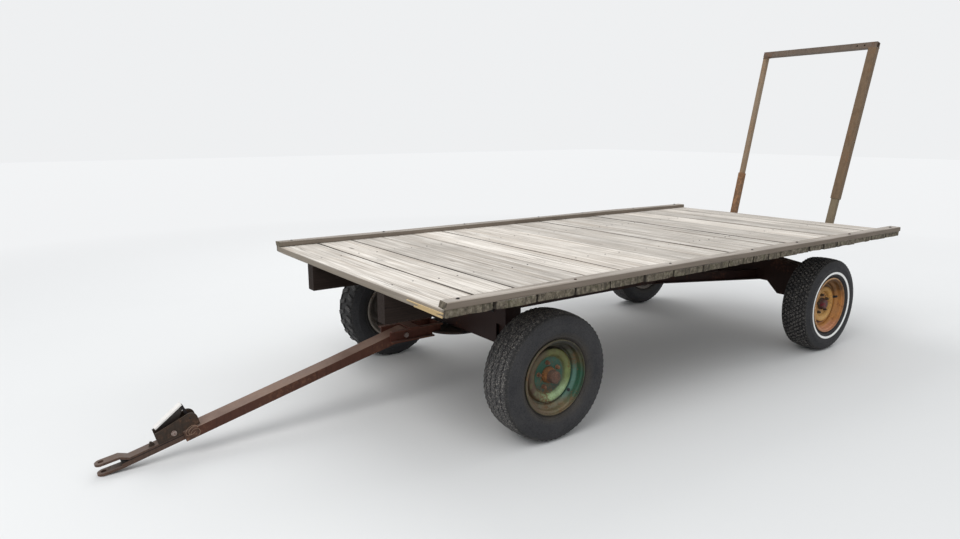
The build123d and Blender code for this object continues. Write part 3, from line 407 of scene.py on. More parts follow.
def wheel_paint(name, wheel, stops, rust, rust_share, grime, tints=()):
    """Paint that changes with the distance from the axle, rusted through in patches.

    Each stop is a radius and its colour. Each tint is an axis, where it starts and is full along it,
    its inner and outer radius, its colour and its amount.
    """
    s = Shader(name, 0.55, 0.4)
    straight, parts = s.from_axle(middle(f"tyre_{wheel}"))
    reach = s.calc("ADD", straight, s.fade(s.noise(24.0), 0.0, 1.0, -0.0035, 0.0035))
    colour = s.ramp(s.fade(reach, 0.0, PAINT_REACH), tuple((radius / PAINT_REACH, shade) for radius, shade in stops))
    for axis, start, full, inner, outer, tint, amount in tints:
        patch = s.fade(s.noise(31.0), 0.34, 0.58, amount * 0.72, amount)
        mask = s.times(s.fade(parts[axis], start, full), s.band(reach, inner, outer, TINT_EDGE))
        colour = s.blend(s.times(mask, patch), colour, tint)
    broad = s.noise(9.0, detail=5.0, rough=0.65)
    fine = s.noise(85.0, detail=6.0, rough=0.7)
    rusted = s.fade(s.weigh((broad, 0.55), (fine, 0.45)), 0.63 - 0.2 * rust_share, 0.68 - 0.18 * rust_share)
    colour = s.blend(s.fade(fine, 0.35, 0.65, 0.0, 0.3), colour, (0.03, 0.03, 0.02))
    rust_tone = s.ramp(fine, ((0.35, scaled(rust, 0.4)), (0.6, rust)))
    colour = s.blend(s.times(rusted, 0.9), colour, rust_tone)
    specks = s.fade(s.cells(150.0), 0.1, 0.16, 0.8, 0.0)
    colour = s.blend(s.times(specks, s.fade(broad, 0.42, 0.6)), colour, scaled(rust, 0.6))
    dirt = s.fade(s.noise(16.0, warp=0.6), 0.46, 0.7, 0.0, grime)
    colour = s.blend(dirt, colour, (0.055, 0.045, 0.033))
    normal = s.bump(s.weigh((fine, 0.6), (rusted, -0.4)), 0.4, 0.0009)
    return s.done(colour, s.fade(rusted, 0.0, 1.0, 0.5, 0.9), normal)


def green_paint_and_shade(wheel):
    """Faded green wheel: mint ring, teal dish and step, olive above, tan rust below; painted shadow at the ring's outer
    edge and under the flange at the top.
    """
    # The near-black stops at 0.1485 and 0.1555 paint a shadow line round the outer edge of the raised ring.
    stops = ((0.0, (0.028, 0.085, 0.055)), (0.096, (0.022, 0.095, 0.064)), (0.104, (0.1, 0.12, 0.055)),
             (0.11, (0.165, 0.21, 0.062)), (0.145, (0.175, 0.235, 0.07)), (0.1485, (0.04, 0.058, 0.032)),
             (0.1555, (0.01, 0.016, 0.01)), (0.1585, (0.075, 0.175, 0.132)), (0.178, (0.078, 0.178, 0.138)),
             (0.186, (0.006, 0.08, 0.04)), (0.2, (0.01, 0.07, 0.04)), (0.205, (0.13, 0.115, 0.065)))
    tints = (("Z", -0.03, -0.085, 0.106, 0.147, (0.35, 0.48, 0.25), 1.0),
             ("Z", 0.01, 0.09, 0.106, 0.149, (0.098, 0.094, 0.022), 1.0),
             ("Y", 0.0, -0.085, 0.106, 0.149, (0.085, 0.048, 0.026), 1.0),
             ("Z", -0.01, 0.06, 0.154, 0.203, (0.062, 0.05, 0.018), 1.0),
             # Painted shade: the near-black tint at the top of the step, under the flange.
             ("Z", 0.085, 0.14, 0.15, 0.203, (0.009, 0.007, 0.004), 1.0),
             ("Y", -0.07, -0.15, 0.184, 0.2025, (0.03, 0.038, 0.026), 1.0),
             ("Z", -0.125, -0.168, 0.157, 0.203, (0.19, 0.14, 0.075), 1.0),
             ("Y", -0.02, -0.11, 0.152, 0.203, (0.12, 0.075, 0.04), 0.95),
             ("Z", -0.03, -0.085, 0.02, 0.098, (0.026, 0.03, 0.018), 0.9))
    return wheel_paint("green wheel paint and painted shade", wheel, stops, (0.16, 0.085, 0.038), 0.42, 0.35, tints)


def yellow_paint_and_shade(wheel):
    """Orange-yellow wheel with a painted shadow ring outside its raised crown, browner and darker at the top of its
    step as painted shade.
    """
    # The dark stops from 0.134 to 0.145 paint a shadow ring outside the raised crown.
    stops = ((0.0, (0.3, 0.12, 0.03)), (0.06, (0.36, 0.17, 0.045)), (0.098, (0.58, 0.3, 0.07)),
             (0.12, (0.52, 0.25, 0.048)), (0.129, (0.4, 0.18, 0.04)), (0.134, (0.06, 0.016, 0.015)),
             (0.145, (0.075, 0.024, 0.018)), (0.153, (0.45, 0.19, 0.045)), (0.186, (0.5, 0.21, 0.045)),
             (0.198, (0.5, 0.19, 0.05)), (0.203, (0.62, 0.35, 0.16)))
    # Painted shade: the first tint makes the top of the step browner and darker.
    tints = (("Z", 0.02, 0.11, 0.146, 0.199, (0.1, 0.042, 0.007), 0.97),
             ("Z", -0.04, -0.1, 0.02, 0.132, (0.66, 0.38, 0.12), 0.95),
             ("Z", -0.12, -0.165, 0.178, 0.207, (0.62, 0.27, 0.15), 0.8),
             ("Z", 0.06, 0.12, 0.09, 0.132, (0.34, 0.17, 0.02), 0.85))
    return wheel_paint("yellow wheel paint and painted shade", wheel, stops, (0.22, 0.075, 0.03), 0.28, 0.2, tints)


def brown_paint(wheel):
    stops = ((0.0, (0.05, 0.04, 0.035)), (0.1, (0.095, 0.078, 0.065)), (0.15, (0.175, 0.15, 0.13)),
             (0.196, (0.19, 0.16, 0.138)), (0.204, (0.33, 0.29, 0.25)))
    return wheel_paint(f"brown wheel paint {wheel}", wheel, stops, (0.12, 0.06, 0.035), 0.4, 0.3)


# Dark rubber for the valve stubs, and for the discs of painted shade that stand for the valve holes.
valve_and_hole_shade_look = dusty_rubber_and_groove_shade("valve rubber and painted hole shade", (0, 0, 0), 5.0, 0.1, 0.1, 0.0)


# Mesh helpers

LONG_EDGE = 1.0


def new_object(name, data):
    made = bpy.data.objects.new(name, data)
    bpy.context.collection.objects.link(made)
    return made


def mesh_object(name, bm, look):
    mesh = bpy.data.meshes.new(name)
    bm.to_mesh(mesh)
    bm.free()
    mesh.materials.append(look)
    return new_object(name, mesh)


def new_piece(name, bm, look, body, hides=(), sharp=None):
    """Makes a finished piece of a bmesh. sharp is the angle in degrees above which edges stay crisp."""
    piece = mesh_object(name, bm, look)
    if sharp is not None:
        piece.data.shade_smooth()
        piece.data.set_sharp_from_angle(angle=math.radians(sharp))
    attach(piece, body)
    if hides:
        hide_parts(*hides)


def wheel_piece(kind, name, bm, look, sharp, hides=None):
    """Finishes a piece that was made in a wheel's own frame. hides is the kind of part that it replaces."""
    bm.transform(wheel_place(name))
    hidden = (f"{hides}_{name}",) if hides else ()
    new_piece(f"{kind}_{name}", bm, look, f"wheel_{name}", hidden, sharp)


def facing(axis):
    return Vector(axis).to_track_quat("Z", "Y").to_matrix().to_4x4()


def add_box(bm, low, high):
    low, high = Vector(low), Vector(high)
    place = Matrix.Translation((low + high) / 2) @ Matrix.Diagonal((*(high - low), 1.0))
    return bmesh.ops.create_cube(bm, size=1.0, matrix=place)["verts"]


def add_rod(bm, start, end, radius, segments=16, end_radius=None):
    start, end = Vector(start), Vector(end)
    place = Matrix.Translation((start + end) / 2) @ facing(end - start)
    tip = radius if end_radius is None else end_radius
    bmesh.ops.create_cone(bm, cap_ends=True, segments=segments, radius1=radius, radius2=tip,
                          depth=(end - start).length, matrix=place)


def add_bolt(bm, seat, axis, radius=0.011, height=0.008):
    """A hexagonal head on its washer, which stands on seat and points along axis."""
    seat, axis = Vector(seat), Vector(axis).normalized()
    base = seat + axis * 0.002
    add_rod(bm, seat - axis * 0.001, base, radius * 1.45, 14)
    add_rod(bm, base, base + axis * height, radius, 6, radius * 0.94)


def add_weld(bm, start, end, radius, rng, pitch=0.55):
    """A bead of overlapping lumps along a straight joint."""
    start, end = Vector(start), Vector(end)
    count = max(2, int((end - start).length / (radius * pitch)))
    for index in range(count + 1):
        spot = start.lerp(end, index / count) + Vector([rng.uniform(-0.0007, 0.0007) for _ in range(3)])
        lump = Matrix.Translation(spot) @ Matrix.Scale(radius * rng.uniform(0.85, 1.15), 4)
        bmesh.ops.create_icosphere(bm, subdivisions=1, radius=1.0, matrix=lump)


def lathe(bm, profile, steps):
    """Spins a closed outline of (radius, offset) points about the local Z axis."""
    verts = [bm.verts.new((radius, 0.0, offset)) for radius, offset in profile]
    edges = [bm.edges.new(pair) for pair in zip(verts, verts[1:] + verts[:1])]
    bmesh.ops.spin(bm, geom=verts + edges, cent=(0, 0, 0), axis=(0, 0, 1), angle=2 * math.pi, steps=steps,
                   use_merge=True)
    bmesh.ops.remove_doubles(bm, verts=bm.verts, dist=1e-5)
    bmesh.ops.recalc_face_normals(bm, faces=bm.faces)


def ribbon(line, thickness):
    """Closed outline of a strip that follows a line of (radius, offset) points."""
    points = [Vector(point) for point in line]
    outer, inner = [], []
    for before, point, after in zip(points[:1] + points, points, points[1:] + points[-1:]):
        along = (after - before).normalized()
        across = Vector((-along.y, along.x)) * thickness / 2
        outer.append(tuple(point + across))
        inner.append(tuple(point - across))
    return outer + inner[::-1]


def spun_piece(kind, name, profile, steps, look, sharp, hides=None):
    bm = bmesh.new()
    lathe(bm, profile, steps)
    wheel_piece(kind, name, bm, look, sharp, hides)


def chamfer(bm, start, offset):
    """Chamfers the long edges of what was made since vertex number start."""
    bmesh.ops.bevel(bm, geom=long_edges(bm, start), offset=offset, offset_type="OFFSET", segments=1,
                    profile=0.5, affect="EDGES", material=-1)


def long_edges(bm, start):
    bm.verts.ensure_lookup_table()
    edges = {edge for vert in bm.verts[start:] for edge in vert.link_edges}
    return [edge for edge in edges if edge.calc_length() > LONG_EDGE]


def slice_across(bm, start, axis, at):
    """Cuts what was made since vertex number start at one place along an axis."""
    point, normal = Vector(), Vector()
    point[axis], normal[axis] = at, 1.0
    bm.verts.ensure_lookup_table()
    faces = list({face for vert in bm.verts[start:] for face in vert.link_faces})
    edges = list({edge for face in faces for edge in face.edges})
    verts = list({vert for face in faces for vert in face.verts})
    bmesh.ops.bisect_plane(bm, geom=verts + edges + faces, plane_co=point, plane_no=normal)


def drift(*place):
    return noise.noise(Vector(place))


# Deck

# The plank that spans this point along Y is made far paler than the others.
PALE_BOARD_AT = -0.587
PALE_BOARD_TONE = 1.35
WIDE_SEAMS = (1, 2, 5, 9, 13, 18)
SEAM_GAP = 0.003
PLANK_CHAMFER = 0.0026
PLANK_RIPS = (0.16, 0.32, 0.5, 0.68, 0.84)
PLANK_CUTS = (0.012, 0.03, 0.07, 0.12, 0.2, 0.35, 0.5, 0.65, 0.8, 0.88, 0.93, 0.97, 0.988)
PLANK_LAYERS = (0.3, 0.65)
SEAM_STEPS = (0.0055, 0.0105)
PLANK_END_WEAR, RAIL_END_WEAR = 0.09, 0.12
RAIL_CUTS = 60
RAIL_BOW = 0.004
RAIL_RAGGED = 0.004
RAIL_CHAMFER = 0.003
SAWN_SETBACK = 0.016
SAWN_SLANT = (-0.16, -1.0, 0.3)
SPLINTER_FROM, SPLINTER_TO = 0.75, 1.088
RAIL_BOLTS = (0.1, 0.82, 1.56, 2.354, 2.873, 3.55, 4.17)


def tag_faces(bm, start_face, tone):
    """Gives a board its own tone, and marks the sawn faces across its grain."""
    tones = bm.faces.layers.float.get("tone") or bm.faces.layers.float.new("tone")
    cuts = bm.faces.layers.float.get("cut") or bm.faces.layers.float.new("cut")
    bm.faces.ensure_lookup_table()
    bm.normal_update()
    for face in bm.faces[start_face:]:
        centre = face.calc_center_median()
        if centre.z < DECK_TOP:
            sawn = abs(face.normal.x) > 0.75 and min(centre.x - DECK_LOW.x, DECK_HIGH.x - centre.x) < 0.03
        else:
            sawn = abs(face.normal.x) < 0.6 and min(centre.y - DECK_LOW.y, DECK_HIGH.y - centre.y) < 0.05
            sawn = sawn and face.normal.z < 0.7
        face[tones] = tone
        face[cuts] = 1.0 if sawn else 0.0


def plank_spans():
    """Front and rear edge of each plank, read from the deck's own solids."""
    edges = sorted({round(vert.co.y, 4) for vert in nodes["deck_planks"].data.vertices})
    return list(zip(edges[0::2], edges[1::2]))


def cut_plank(bm, low, high):
    """A chamfered plank along X, cut up finely enough to be worn."""
    start = len(bm.verts)
    add_box(bm, low, high)
    chamfer(bm, start, PLANK_CHAMFER)
    length, width, thickness = (top - bottom for bottom, top in zip(low, high))
    for share in PLANK_RIPS:
        slice_across(bm, start, 1, low[1] + width * share)
    for inset in SEAM_STEPS:
        slice_across(bm, start, 1, low[1] + inset)
        slice_across(bm, start, 1, high[1] - inset)
    for share in PLANK_LAYERS:
        slice_across(bm, start, 2, low[2] + thickness * share)
    for share in PLANK_CUTS:
        slice_across(bm, start, 0, low[0] + length * share)
    bm.verts.ensure_lookup_table()
    return bm.verts[start:]


def wear_plank(verts, low, high, rng, seam, seam_shade_strength):
    """Cups and bends a plank, marks its seams for painted shade, and eats into its edges and ends."""
    length, width, thickness = (top - bottom for bottom, top in zip(low, high))
    seed = rng.uniform(0, 100)
    cup = rng.uniform(-0.0012, 0.0022)
    eaten = [rng.uniform(0.1, 0.7), rng.uniform(0.1, 0.7)]
    for vert in verts:
        along = (vert.co.x - low[0]) / length
        side = (vert.co.y - low[1]) / width
        depth = (high[2] - vert.co.z) / thickness
        from_end = min(along, 1 - along) * length
        which, toward = (0, 1) if along < 0.5 else (1, -1)
        off_middle = abs(side - 0.5) * 2
        # Vertices by the long edges carry the seam mark, which paints shade into the seams; it is full at the plank's
        # ends.
        if min(side, 1 - side) * width < 0.004:
            strength = seam_shade_strength * (0.75 + 0.5 * drift(along * 6 + seed, side * 3, 1.0))
            vert[seam] = min(1.0, max(0.0, strength if from_end > 0.001 else 1.0))
            vert.co.y += (1 if side < 0.5 else -1) * max(0.0, 1 - from_end / 0.03) * 0.0016
        vert.co.z += drift(along * 4 + seed, side * 2, 0) * 0.0015
        vert.co.z += cup * off_middle ** 2
        vert.co.y += drift(along * 7 + seed, side * 2, 5.0) * 0.0012
        if from_end < 0.001:
            pull = abs(drift(side * 6 + seed, depth * 3, which * 9.0))
            vert.co.x += toward * (0.002 + 0.018 * pull * depth)
        if depth > 0.6:
            near_end = max(0.0, 1 - from_end / 0.1)
            bite = max(0.0, drift(side * 3 + seed * 1.7, which * 5.0, 2.0) - 0.05)
            corner = max(0.0, off_middle - 0.9) / 0.1
            vert.co.z += near_end * bite * 0.014 * eaten[which]
            vert.co.z += near_end * corner * 0.005 * eaten[which]


def make_deck():
    rng = random.Random(11)
    bm = bmesh.new()
    worn = bm.verts.layers.float.new("worn")
    bm.verts.layers.float.new("seam")
    for number, (front, rear) in enumerate(plank_spans()):
        first_face = len(bm.faces)
        wide = number in WIDE_SEAMS
        lift = rng.uniform(-0.0012, 0.0008)
        reach = [rng.uniform(-0.004, 0.006), rng.uniform(-0.004, 0.006)]
        opened = SEAM_GAP if wide else rng.uniform(0.0, 0.001)
        # How much painted shade the plank's seams get: full at the wide seams, a little at the others.
        seam_shade_strength = 1.0 if wide else rng.uniform(0.1, 0.5)
        low = (DECK_LOW.x + reach[0], front + opened, DECK_LOW.z + lift)
        high = (DECK_HIGH.x - reach[1], rear, DECK_TOP + lift)
        verts = cut_plank(bm, low, high)
        wear_plank(verts, low, high, rng, bm.verts.layers.float["seam"], seam_shade_strength)
        for vert in verts:
            from_end = min(vert.co.x - DECK_LOW.x, DECK_HIGH.x - vert.co.x)
            vert[worn] = max(0.0, 1.0 - from_end / PLANK_END_WEAR)
        tag_faces(bm, first_face, PALE_BOARD_TONE if front < PALE_BOARD_AT < rear else rng.uniform(0.05, 0.95))
    new_piece("deck_boards", bm, planks_look, "wagon", ("deck_planks",), sharp=40)


def rail_board(bm, low, high, rng):
    """A sawn board along Y, a little bowed and ragged at its ends."""
    add_box(bm, low, high)
    chamfer(bm, 0, RAIL_CHAMFER)
    bmesh.ops.subdivide_edges(bm, edges=long_edges(bm, 0), cuts=RAIL_CUTS, use_grid_fill=False)
    seed = rng.uniform(0, 100)
    size = high - low
    for vert in bm.verts:
        along = (vert.co.y - low.y) / size.y
        side = (vert.co.x - low.x) / size.x
        vert.co.z += drift(along * 5 + seed, side * 1.5, vert.co.z * 4) * RAIL_BOW
        vert.co.x += drift(along * 9 + seed, side * 3, 7.1) * RAIL_BOW * 0.6
        if min(along, 1 - along) * size.y < 1e-4:
            pull = drift(side * 9 + seed, vert.co.z * 60, 3.3) + 0.5
            vert.co.y += RAIL_RAGGED * pull * (1 if along < 0.5 else -1)


def saw_corner(bm, low):
    """Saws a rail's front end off askew."""
    geom = list(bm.verts) + list(bm.edges) + list(bm.faces)
    bmesh.ops.bisect_plane(bm, geom=geom, plane_co=(low.x, low.y + SAWN_SETBACK, low.z),
                           plane_no=Vector(SAWN_SLANT).normalized(), clear_outer=True)
    bmesh.ops.holes_fill(bm, edges=[edge for edge in bm.edges if edge.is_boundary], sides=0)
    bmesh.ops.recalc_face_normals(bm, faces=bm.faces)


def make_rails():
    """Boards laid flat on the plank ends. The left one's inner front corner is sawn off."""
    for name, seed, tone in (("left", 5, 0.95), ("right", 6, 0.45)):
        low, high = corners(f"side_rail_{name}")
        bm = bmesh.new()
        worn = bm.verts.layers.float.new("worn")
        rail_board(bm, low, high, random.Random(seed))
        if name == "left":
            saw_corner(bm, low)
        for vert in bm.verts:
            from_end = min(vert.co.y - low.y, high.y - vert.co.y)
            vert[worn] = max(0.0, 1.0 - from_end / RAIL_END_WEAR) * 0.8
        tag_faces(bm, 0, tone)
        new_piece(f"rail_board_{name}", bm, rails_look, "wagon", (f"side_rail_{name}",), sharp=40)


def make_splinters():
    """Fresh splintered wood along the near front edge of the first plank."""
    rng = random.Random(31)
    bm = bmesh.new()
    for layer in range(4):
        left = SPLINTER_FROM + rng.uniform(0.0, 0.1) + 0.012 * layer
        right = SPLINTER_TO - rng.uniform(0.0, 0.1)
        top = DECK_TOP - 0.0145 - 0.006 * layer
        front = DECK_LOW.y - 0.0045 + 0.0008 * layer
        for vert in add_box(bm, (left, front, top - 0.007), (right, DECK_LOW.y + 0.004, top)):
            vert.co.z += rng.uniform(-0.002, 0.002)
            vert.co.y += rng.uniform(-0.001, 0.001)
    new_piece("edge_splinters", bm, splinter_look, "wagon")


def make_deck_bolts():
    """Carriage bolts through the rails, and spikes where the planks cross the stringers."""
    rng = random.Random(21)
    bm = bmesh.new()
    for name in ("left", "right"):
        low, high = corners(f"side_rail_{name}")
        for ahead in RAIL_BOLTS:
            x, y = (low.x + high.x) / 2 + rng.uniform(-0.008, 0.008), low.y + ahead
            add_rod(bm, (x, y, high.z - 0.002), (x, y, high.z + 0.0045), 0.0115, 14, 0.005)
    for name in ("left", "right"):
        stringer = middle(f"stringer_{name}")
        for front, rear in plank_spans():
            for share in (0.25, 0.75):
                x = stringer.x + rng.uniform(-0.014, 0.014)
                y = front + (rear - front) * share + rng.uniform(-0.01, 0.01)
                add_rod(bm, (x, y, DECK_TOP - 0.004), (x, y, DECK_TOP + 0.0012), 0.0055, 8, 0.005)
    new_piece("deck_fasteners", bm, dark_look, "wagon", sharp=35)


# Tyres

BEAD_RADIUS = 0.191
BEAD_HALF = 0.0785
# How far each point lies outside the rim's flange and the bead
BEAD_STEPS = ((0.006, 0.0005), (0.01, 0.008), (0.016, 0.0165), (0.018, 0.0195), (0.022, 0.0195), (0.024, 0.0215))
# Share of the sidewall's rise, and how far the point lies inside the widest width
WALL_STEPS = ((0.3, 0.0055), (0.44, 0.0012), (0.56, 0.0), (0.6, 0.0), (0.61, 0.0014), (0.72, 0.0045),
              (0.83, 0.011))
SHOULDER_STEPS = ((0.015, 0.007), (0.0105, 0.0025))
SHOULDER_SHARE = 0.8
CROWN_DROP = 0.008
GROOVE_SHARES = (-0.64, -0.22, 0.22, 0.64)
GROOVE_WIDTH, GROOVE_DEPTH = 0.0075, 0.0085
GROOVE_LINE = ((-0.5, 0), (-0.32, 1), (0.32, 1), (0.5, 0))
PLAIN_CROWN_SHARES = (-1, -0.75, -0.5, -0.25, 0, 0.25, 0.5, 0.75, 1)
RIB_SHARE, RIB_REACH = 0.8, 0.022
NOTCH_REACH, NOTCH_DEPTH = 0.016, 0.0035
BLOCK_TAPER = 0.82
RING_SHARES, RING_INSET = (0.21, 0.325), 0.0052
LUG_ROWS = ((0.56, 0.0, 1), (-0.56, 0.5, -1))
BLOCK_ROWS = tuple((share, index % 2 * 0.5, 1 - index % 2 * 2)
                   for index, share in enumerate((0.92, 0.66, 0.4, 0.13, -0.13, -0.4, -0.66, -0.92)))


def tyre_size(name):
    """Radius, half width and half width at the shoulders."""
    low, high = corners(f"tyre_{name}")
    half_width = (high.x - low.x) / 2
    return (high.z - low.z) / 2, half_width, half_width * SHOULDER_SHARE


def sidewall(radius, half_width, shoulder_half):
    """Outline points of one sidewall from the bead out to the shoulder."""
    rise = radius - FLANGE_RADIUS
    return ([(BEAD_RADIUS, BEAD_HALF)]
            + [(FLANGE_RADIUS + out, BEAD_HALF + beside) for out, beside in BEAD_STEPS]
            + [(FLANGE_RADIUS + rise * share, half_width - inset) for share, inset in WALL_STEPS]
            + [(radius - down, shoulder_half + beside) for down, beside in SHOULDER_STEPS])


def crown_radius(radius, offset, shoulder_half):
    return radius - CROWN_DROP * (abs(offset) / shoulder_half) ** 2.2


def ribbed_crown(radius, shoulder_half):
    edge = crown_radius(radius, shoulder_half, shoulder_half)
    points = [(edge, -shoulder_half)]
    for centre in GROOVE_SHARES:
        for shift, down in GROOVE_LINE:
            offset = shoulder_half * centre + shift * GROOVE_WIDTH
            points.append((crown_radius(radius, offset, shoulder_half) - down * GROOVE_DEPTH, offset))
    return points + [(edge, shoulder_half)]


def plain_crown(radius, shoulder_half, drop):
    return [(crown_radius(radius, share * shoulder_half, shoulder_half) - drop, share * shoulder_half)
            for share in PLAIN_CROWN_SHARES]


def tyre_shell(bm, size, crown, steps):
    wall = sidewall(*size)
    lathe(bm, [(radius, -offset) for radius, offset in wall] + crown + wall[::-1], steps)


def make_ribbed_tyre(name, look, waves=68, swing=0.0042):
    """A tyre with zigzag ribs. swing is how far a rib moves to each side."""
    size = radius, _, shoulder_half = tyre_size(name)
    steps = waves * 2
    bm = bmesh.new()
    tyre_shell(bm, size, ribbed_crown(radius, shoulder_half), steps)
    for vert in bm.verts:
        reach = math.hypot(vert.co.x, vert.co.y)
        step = round(math.atan2(vert.co.y, vert.co.x) / (2 * math.pi) * steps) % 2
        if reach > radius - RIB_REACH and abs(vert.co.z) < shoulder_half * RIB_SHARE:
            vert.co.z += swing if step else -swing
        elif reach > radius - NOTCH_REACH and step:
            vert.co.xy *= (reach - NOTCH_DEPTH) / reach
    wheel_piece("tyre_tread", name, bm, look, 38, "tyre")


def add_tread_block(bm, radius, angle, offset, size, skew):
    """size is (radial, tangential, axial)."""
    made = bmesh.ops.create_cube(bm, size=1.0)["verts"]
    for vert in made:
        if vert.co.x > 0:
            vert.co.yz *= BLOCK_TAPER
    place = (Matrix.Rotation(angle, 4, "Z") @ Matrix.Translation((radius, 0, offset))
             @ Matrix.Rotation(skew, 4, "X") @ Matrix.Diagonal((*size, 1.0)))
    bmesh.ops.transform(bm, matrix=place, verts=made)


def make_block_tyre(name, look, rows, count, block, skew, drop):
    """A tyre with rows of blocks. Each row is (offset share, turn share, mirrored skew)."""
    size = radius, _, shoulder_half = tyre_size(name)
    bm = bmesh.new()
    tyre_shell(bm, size, plain_crown(radius, shoulder_half, drop), 112)
    for share, turn, direction in rows:
        offset = share * shoulder_half
        middle_radius = crown_radius(radius, offset, shoulder_half) - block[0] / 2
        for index in range(count):
            angle = (index + turn) * 2 * math.pi / count
            add_tread_block(bm, middle_radius, angle, offset, block, skew * direction)
    for vert in bm.verts:
        reach = math.hypot(vert.co.x, vert.co.y)
        if reach > radius:
            vert.co.xy *= radius / reach
    wheel_piece("tyre_tread", name, bm, look, 38, "tyre")


def make_whitewall(name):
    radius, half_width, _ = tyre_size(name)
    inner, outer = (FLANGE_RADIUS + (radius - FLANGE_RADIUS) * share for share in RING_SHARES)
    face = half_width - RING_INSET
    profile = [(inner, face - 0.005), (inner, face - 0.0005), (inner + 0.002, face + 0.0004),
               (outer - 0.002, face + 0.0026), (outer, face + 0.002), (outer, face - 0.003)]
    spun_piece("whitewall", name, profile, 128, ring_look, 35)


# Rims and hubs, as (radius, offset) points in a wheel's own frame

HOOP_EDGE = [(0.1995, 0.0912), (0.2045, 0.0905), (0.2072, 0.0878), (0.207, 0.0845), (0.204, 0.0818),
             (0.196, 0.0805), (0.1905, 0.079), (0.1882, 0.0745)]
HOOP_WELL = [(0.188, 0.053), (0.185, 0.049), (0.169, 0.0415), (0.1658, 0.037), (0.1655, -0.045),
             (0.169, -0.05), (0.185, -0.0575), (0.188, -0.062)]
HOOP_LINE = HOOP_EDGE + HOOP_WELL + [(radius, -offset) for radius, offset in HOOP_EDGE[::-1]]
DISC_LINE = [(0.046, 0.0195), (0.0905, 0.0195), (0.0985, 0.0222), (0.1035, 0.029), (0.1075, 0.0365),
             (0.113, 0.0415), (0.1215, 0.0435), (0.132, 0.0432), (0.14, 0.0405), (0.1445, 0.0345),
             (0.1465, 0.028), (0.15, 0.024), (0.156, 0.0228), (0.163, 0.025)]
CROWN_FROM, CROWN_TO = 0.095, 0.152
HOOP_THICKNESS, DISC_THICKNESS = 0.004, 0.005
NUT_COUNT = 5
NUT_CIRCLE = 0.0698
NUT_START = 0.11
# Washer, nut and stud: start, end, radius, sides and end radius
NUT_PARTS = ((-0.001, 0.004, 0.0135, 18, 0.0112), (0.003, 0.017, 0.0108, 6, 0.0098),
             (0.016, 0.023, 0.0058, 12, 0.005))
NAVE_FACE = 0.022
VALVE_SEAT = Vector((0.1705, 0, 0.0435))
VALVE_WAY, SLOT_WAY = Vector((-0.62, 0, 0.78)), Vector((0.78, 0, 0.62))
SLOT_SHIFTS = (-0.016, -0.011, -0.006, -0.001, 0.004)


def make_rim(name, look, crown_share):
    """The hoop and the pressed disc in it. crown_share draws the disc's raised ring in towards the hub."""
    disc = [(radius * crown_share if CROWN_FROM < radius < CROWN_TO else radius, offset)
            for radius, offset in DISC_LINE]
    for kind, line, thickness, hides in (("rim_hoop", HOOP_LINE, HOOP_THICKNESS, "rim"),
                                         ("rim_disc", disc, DISC_THICKNESS, None)):
        spun_piece(kind, name, ribbon(line, thickness), 96, look, 50, hides)


def make_valve(name, angle, slotted=False):
    """The dark valve hole on the step of the rim, drawn as painted shade: a dark disc with the stub of a valve in it,
    or a slot of dark discs.
    """
    bm = bmesh.new()
    if slotted:
        for shift in SLOT_SHIFTS:
            spot = VALVE_SEAT + SLOT_WAY * shift
            add_rod(bm, spot - VALVE_WAY * 0.006, spot + VALVE_WAY * 0.0035, 0.0088, 12)
    else:
        add_rod(bm, VALVE_SEAT, VALVE_SEAT + VALVE_WAY * 0.0035, 0.0095, 18)
        add_rod(bm, VALVE_SEAT, VALVE_SEAT + VALVE_WAY * 0.013, 0.0042, 12, 0.0035)
    bm.transform(Matrix.Rotation(math.radians(angle), 4, "Z"))
    wheel_piece("valve", name, bm, valve_and_hole_shade_look, 35)


def make_nuts(name, look):
    bm = bmesh.new()
    for index in range(NUT_COUNT):
        angle = (index + NUT_START) * 2 * math.pi / NUT_COUNT
        x, y = NUT_CIRCLE * math.cos(angle), NUT_CIRCLE * math.sin(angle)
        for start, end, radius, sides, end_radius in NUT_PARTS:
            add_rod(bm, (x, y, NAVE_FACE + start), (x, y, NAVE_FACE + end), radius, sides, end_radius)
    wheel_piece("wheel_nuts", name, bm, look, 30)


def make_hub(name, look, end_look, shorter=0.0):
    """The hub barrel through the disc and its end cap. shorter draws the cap's end in."""
    low, high = corners(f"hub_{name}")
    from_centre = abs(middle(f"tyre_{name}").x)
    outer = max(abs(high.x), abs(low.x)) - from_centre - shorter
    inner = min(abs(high.x), abs(low.x)) - from_centre
    flange = NAVE_FACE - 0.005
    foot = outer - 0.036
    barrel = [(0.0201, inner + 0.001), (0.036, inner + 0.001), (0.039, inner + 0.004), (0.039, inner + 0.022),
              (0.043, inner + 0.03), (0.043, flange - 0.016), (0.047, flange - 0.012), (0.07, flange - 0.012),
              (0.0718, flange - 0.01), (0.0718, flange), (0.044, flange), (0.044, NAVE_FACE + 0.008),
              (0.0415, NAVE_FACE + 0.013), (0.04, foot - 0.004), (0.037, foot), (0.0201, foot)]
    cap = [(0.0001, foot - 0.003), (0.0365, foot - 0.003), (0.0372, foot + 0.001), (0.0372, foot + 0.006),
           (0.035, foot + 0.008), (0.0345, outer - 0.009), (0.0325, outer - 0.003), (0.029, outer - 0.0005),
           (0.024, outer), (0.018, outer - 0.0015), (0.0001, outer - 0.0015)]
    spun_piece("hub_barrel", name, barrel, 64, look, 40, "hub")
    spun_piece("dust_cap", name, cap, 56, end_look, 40)


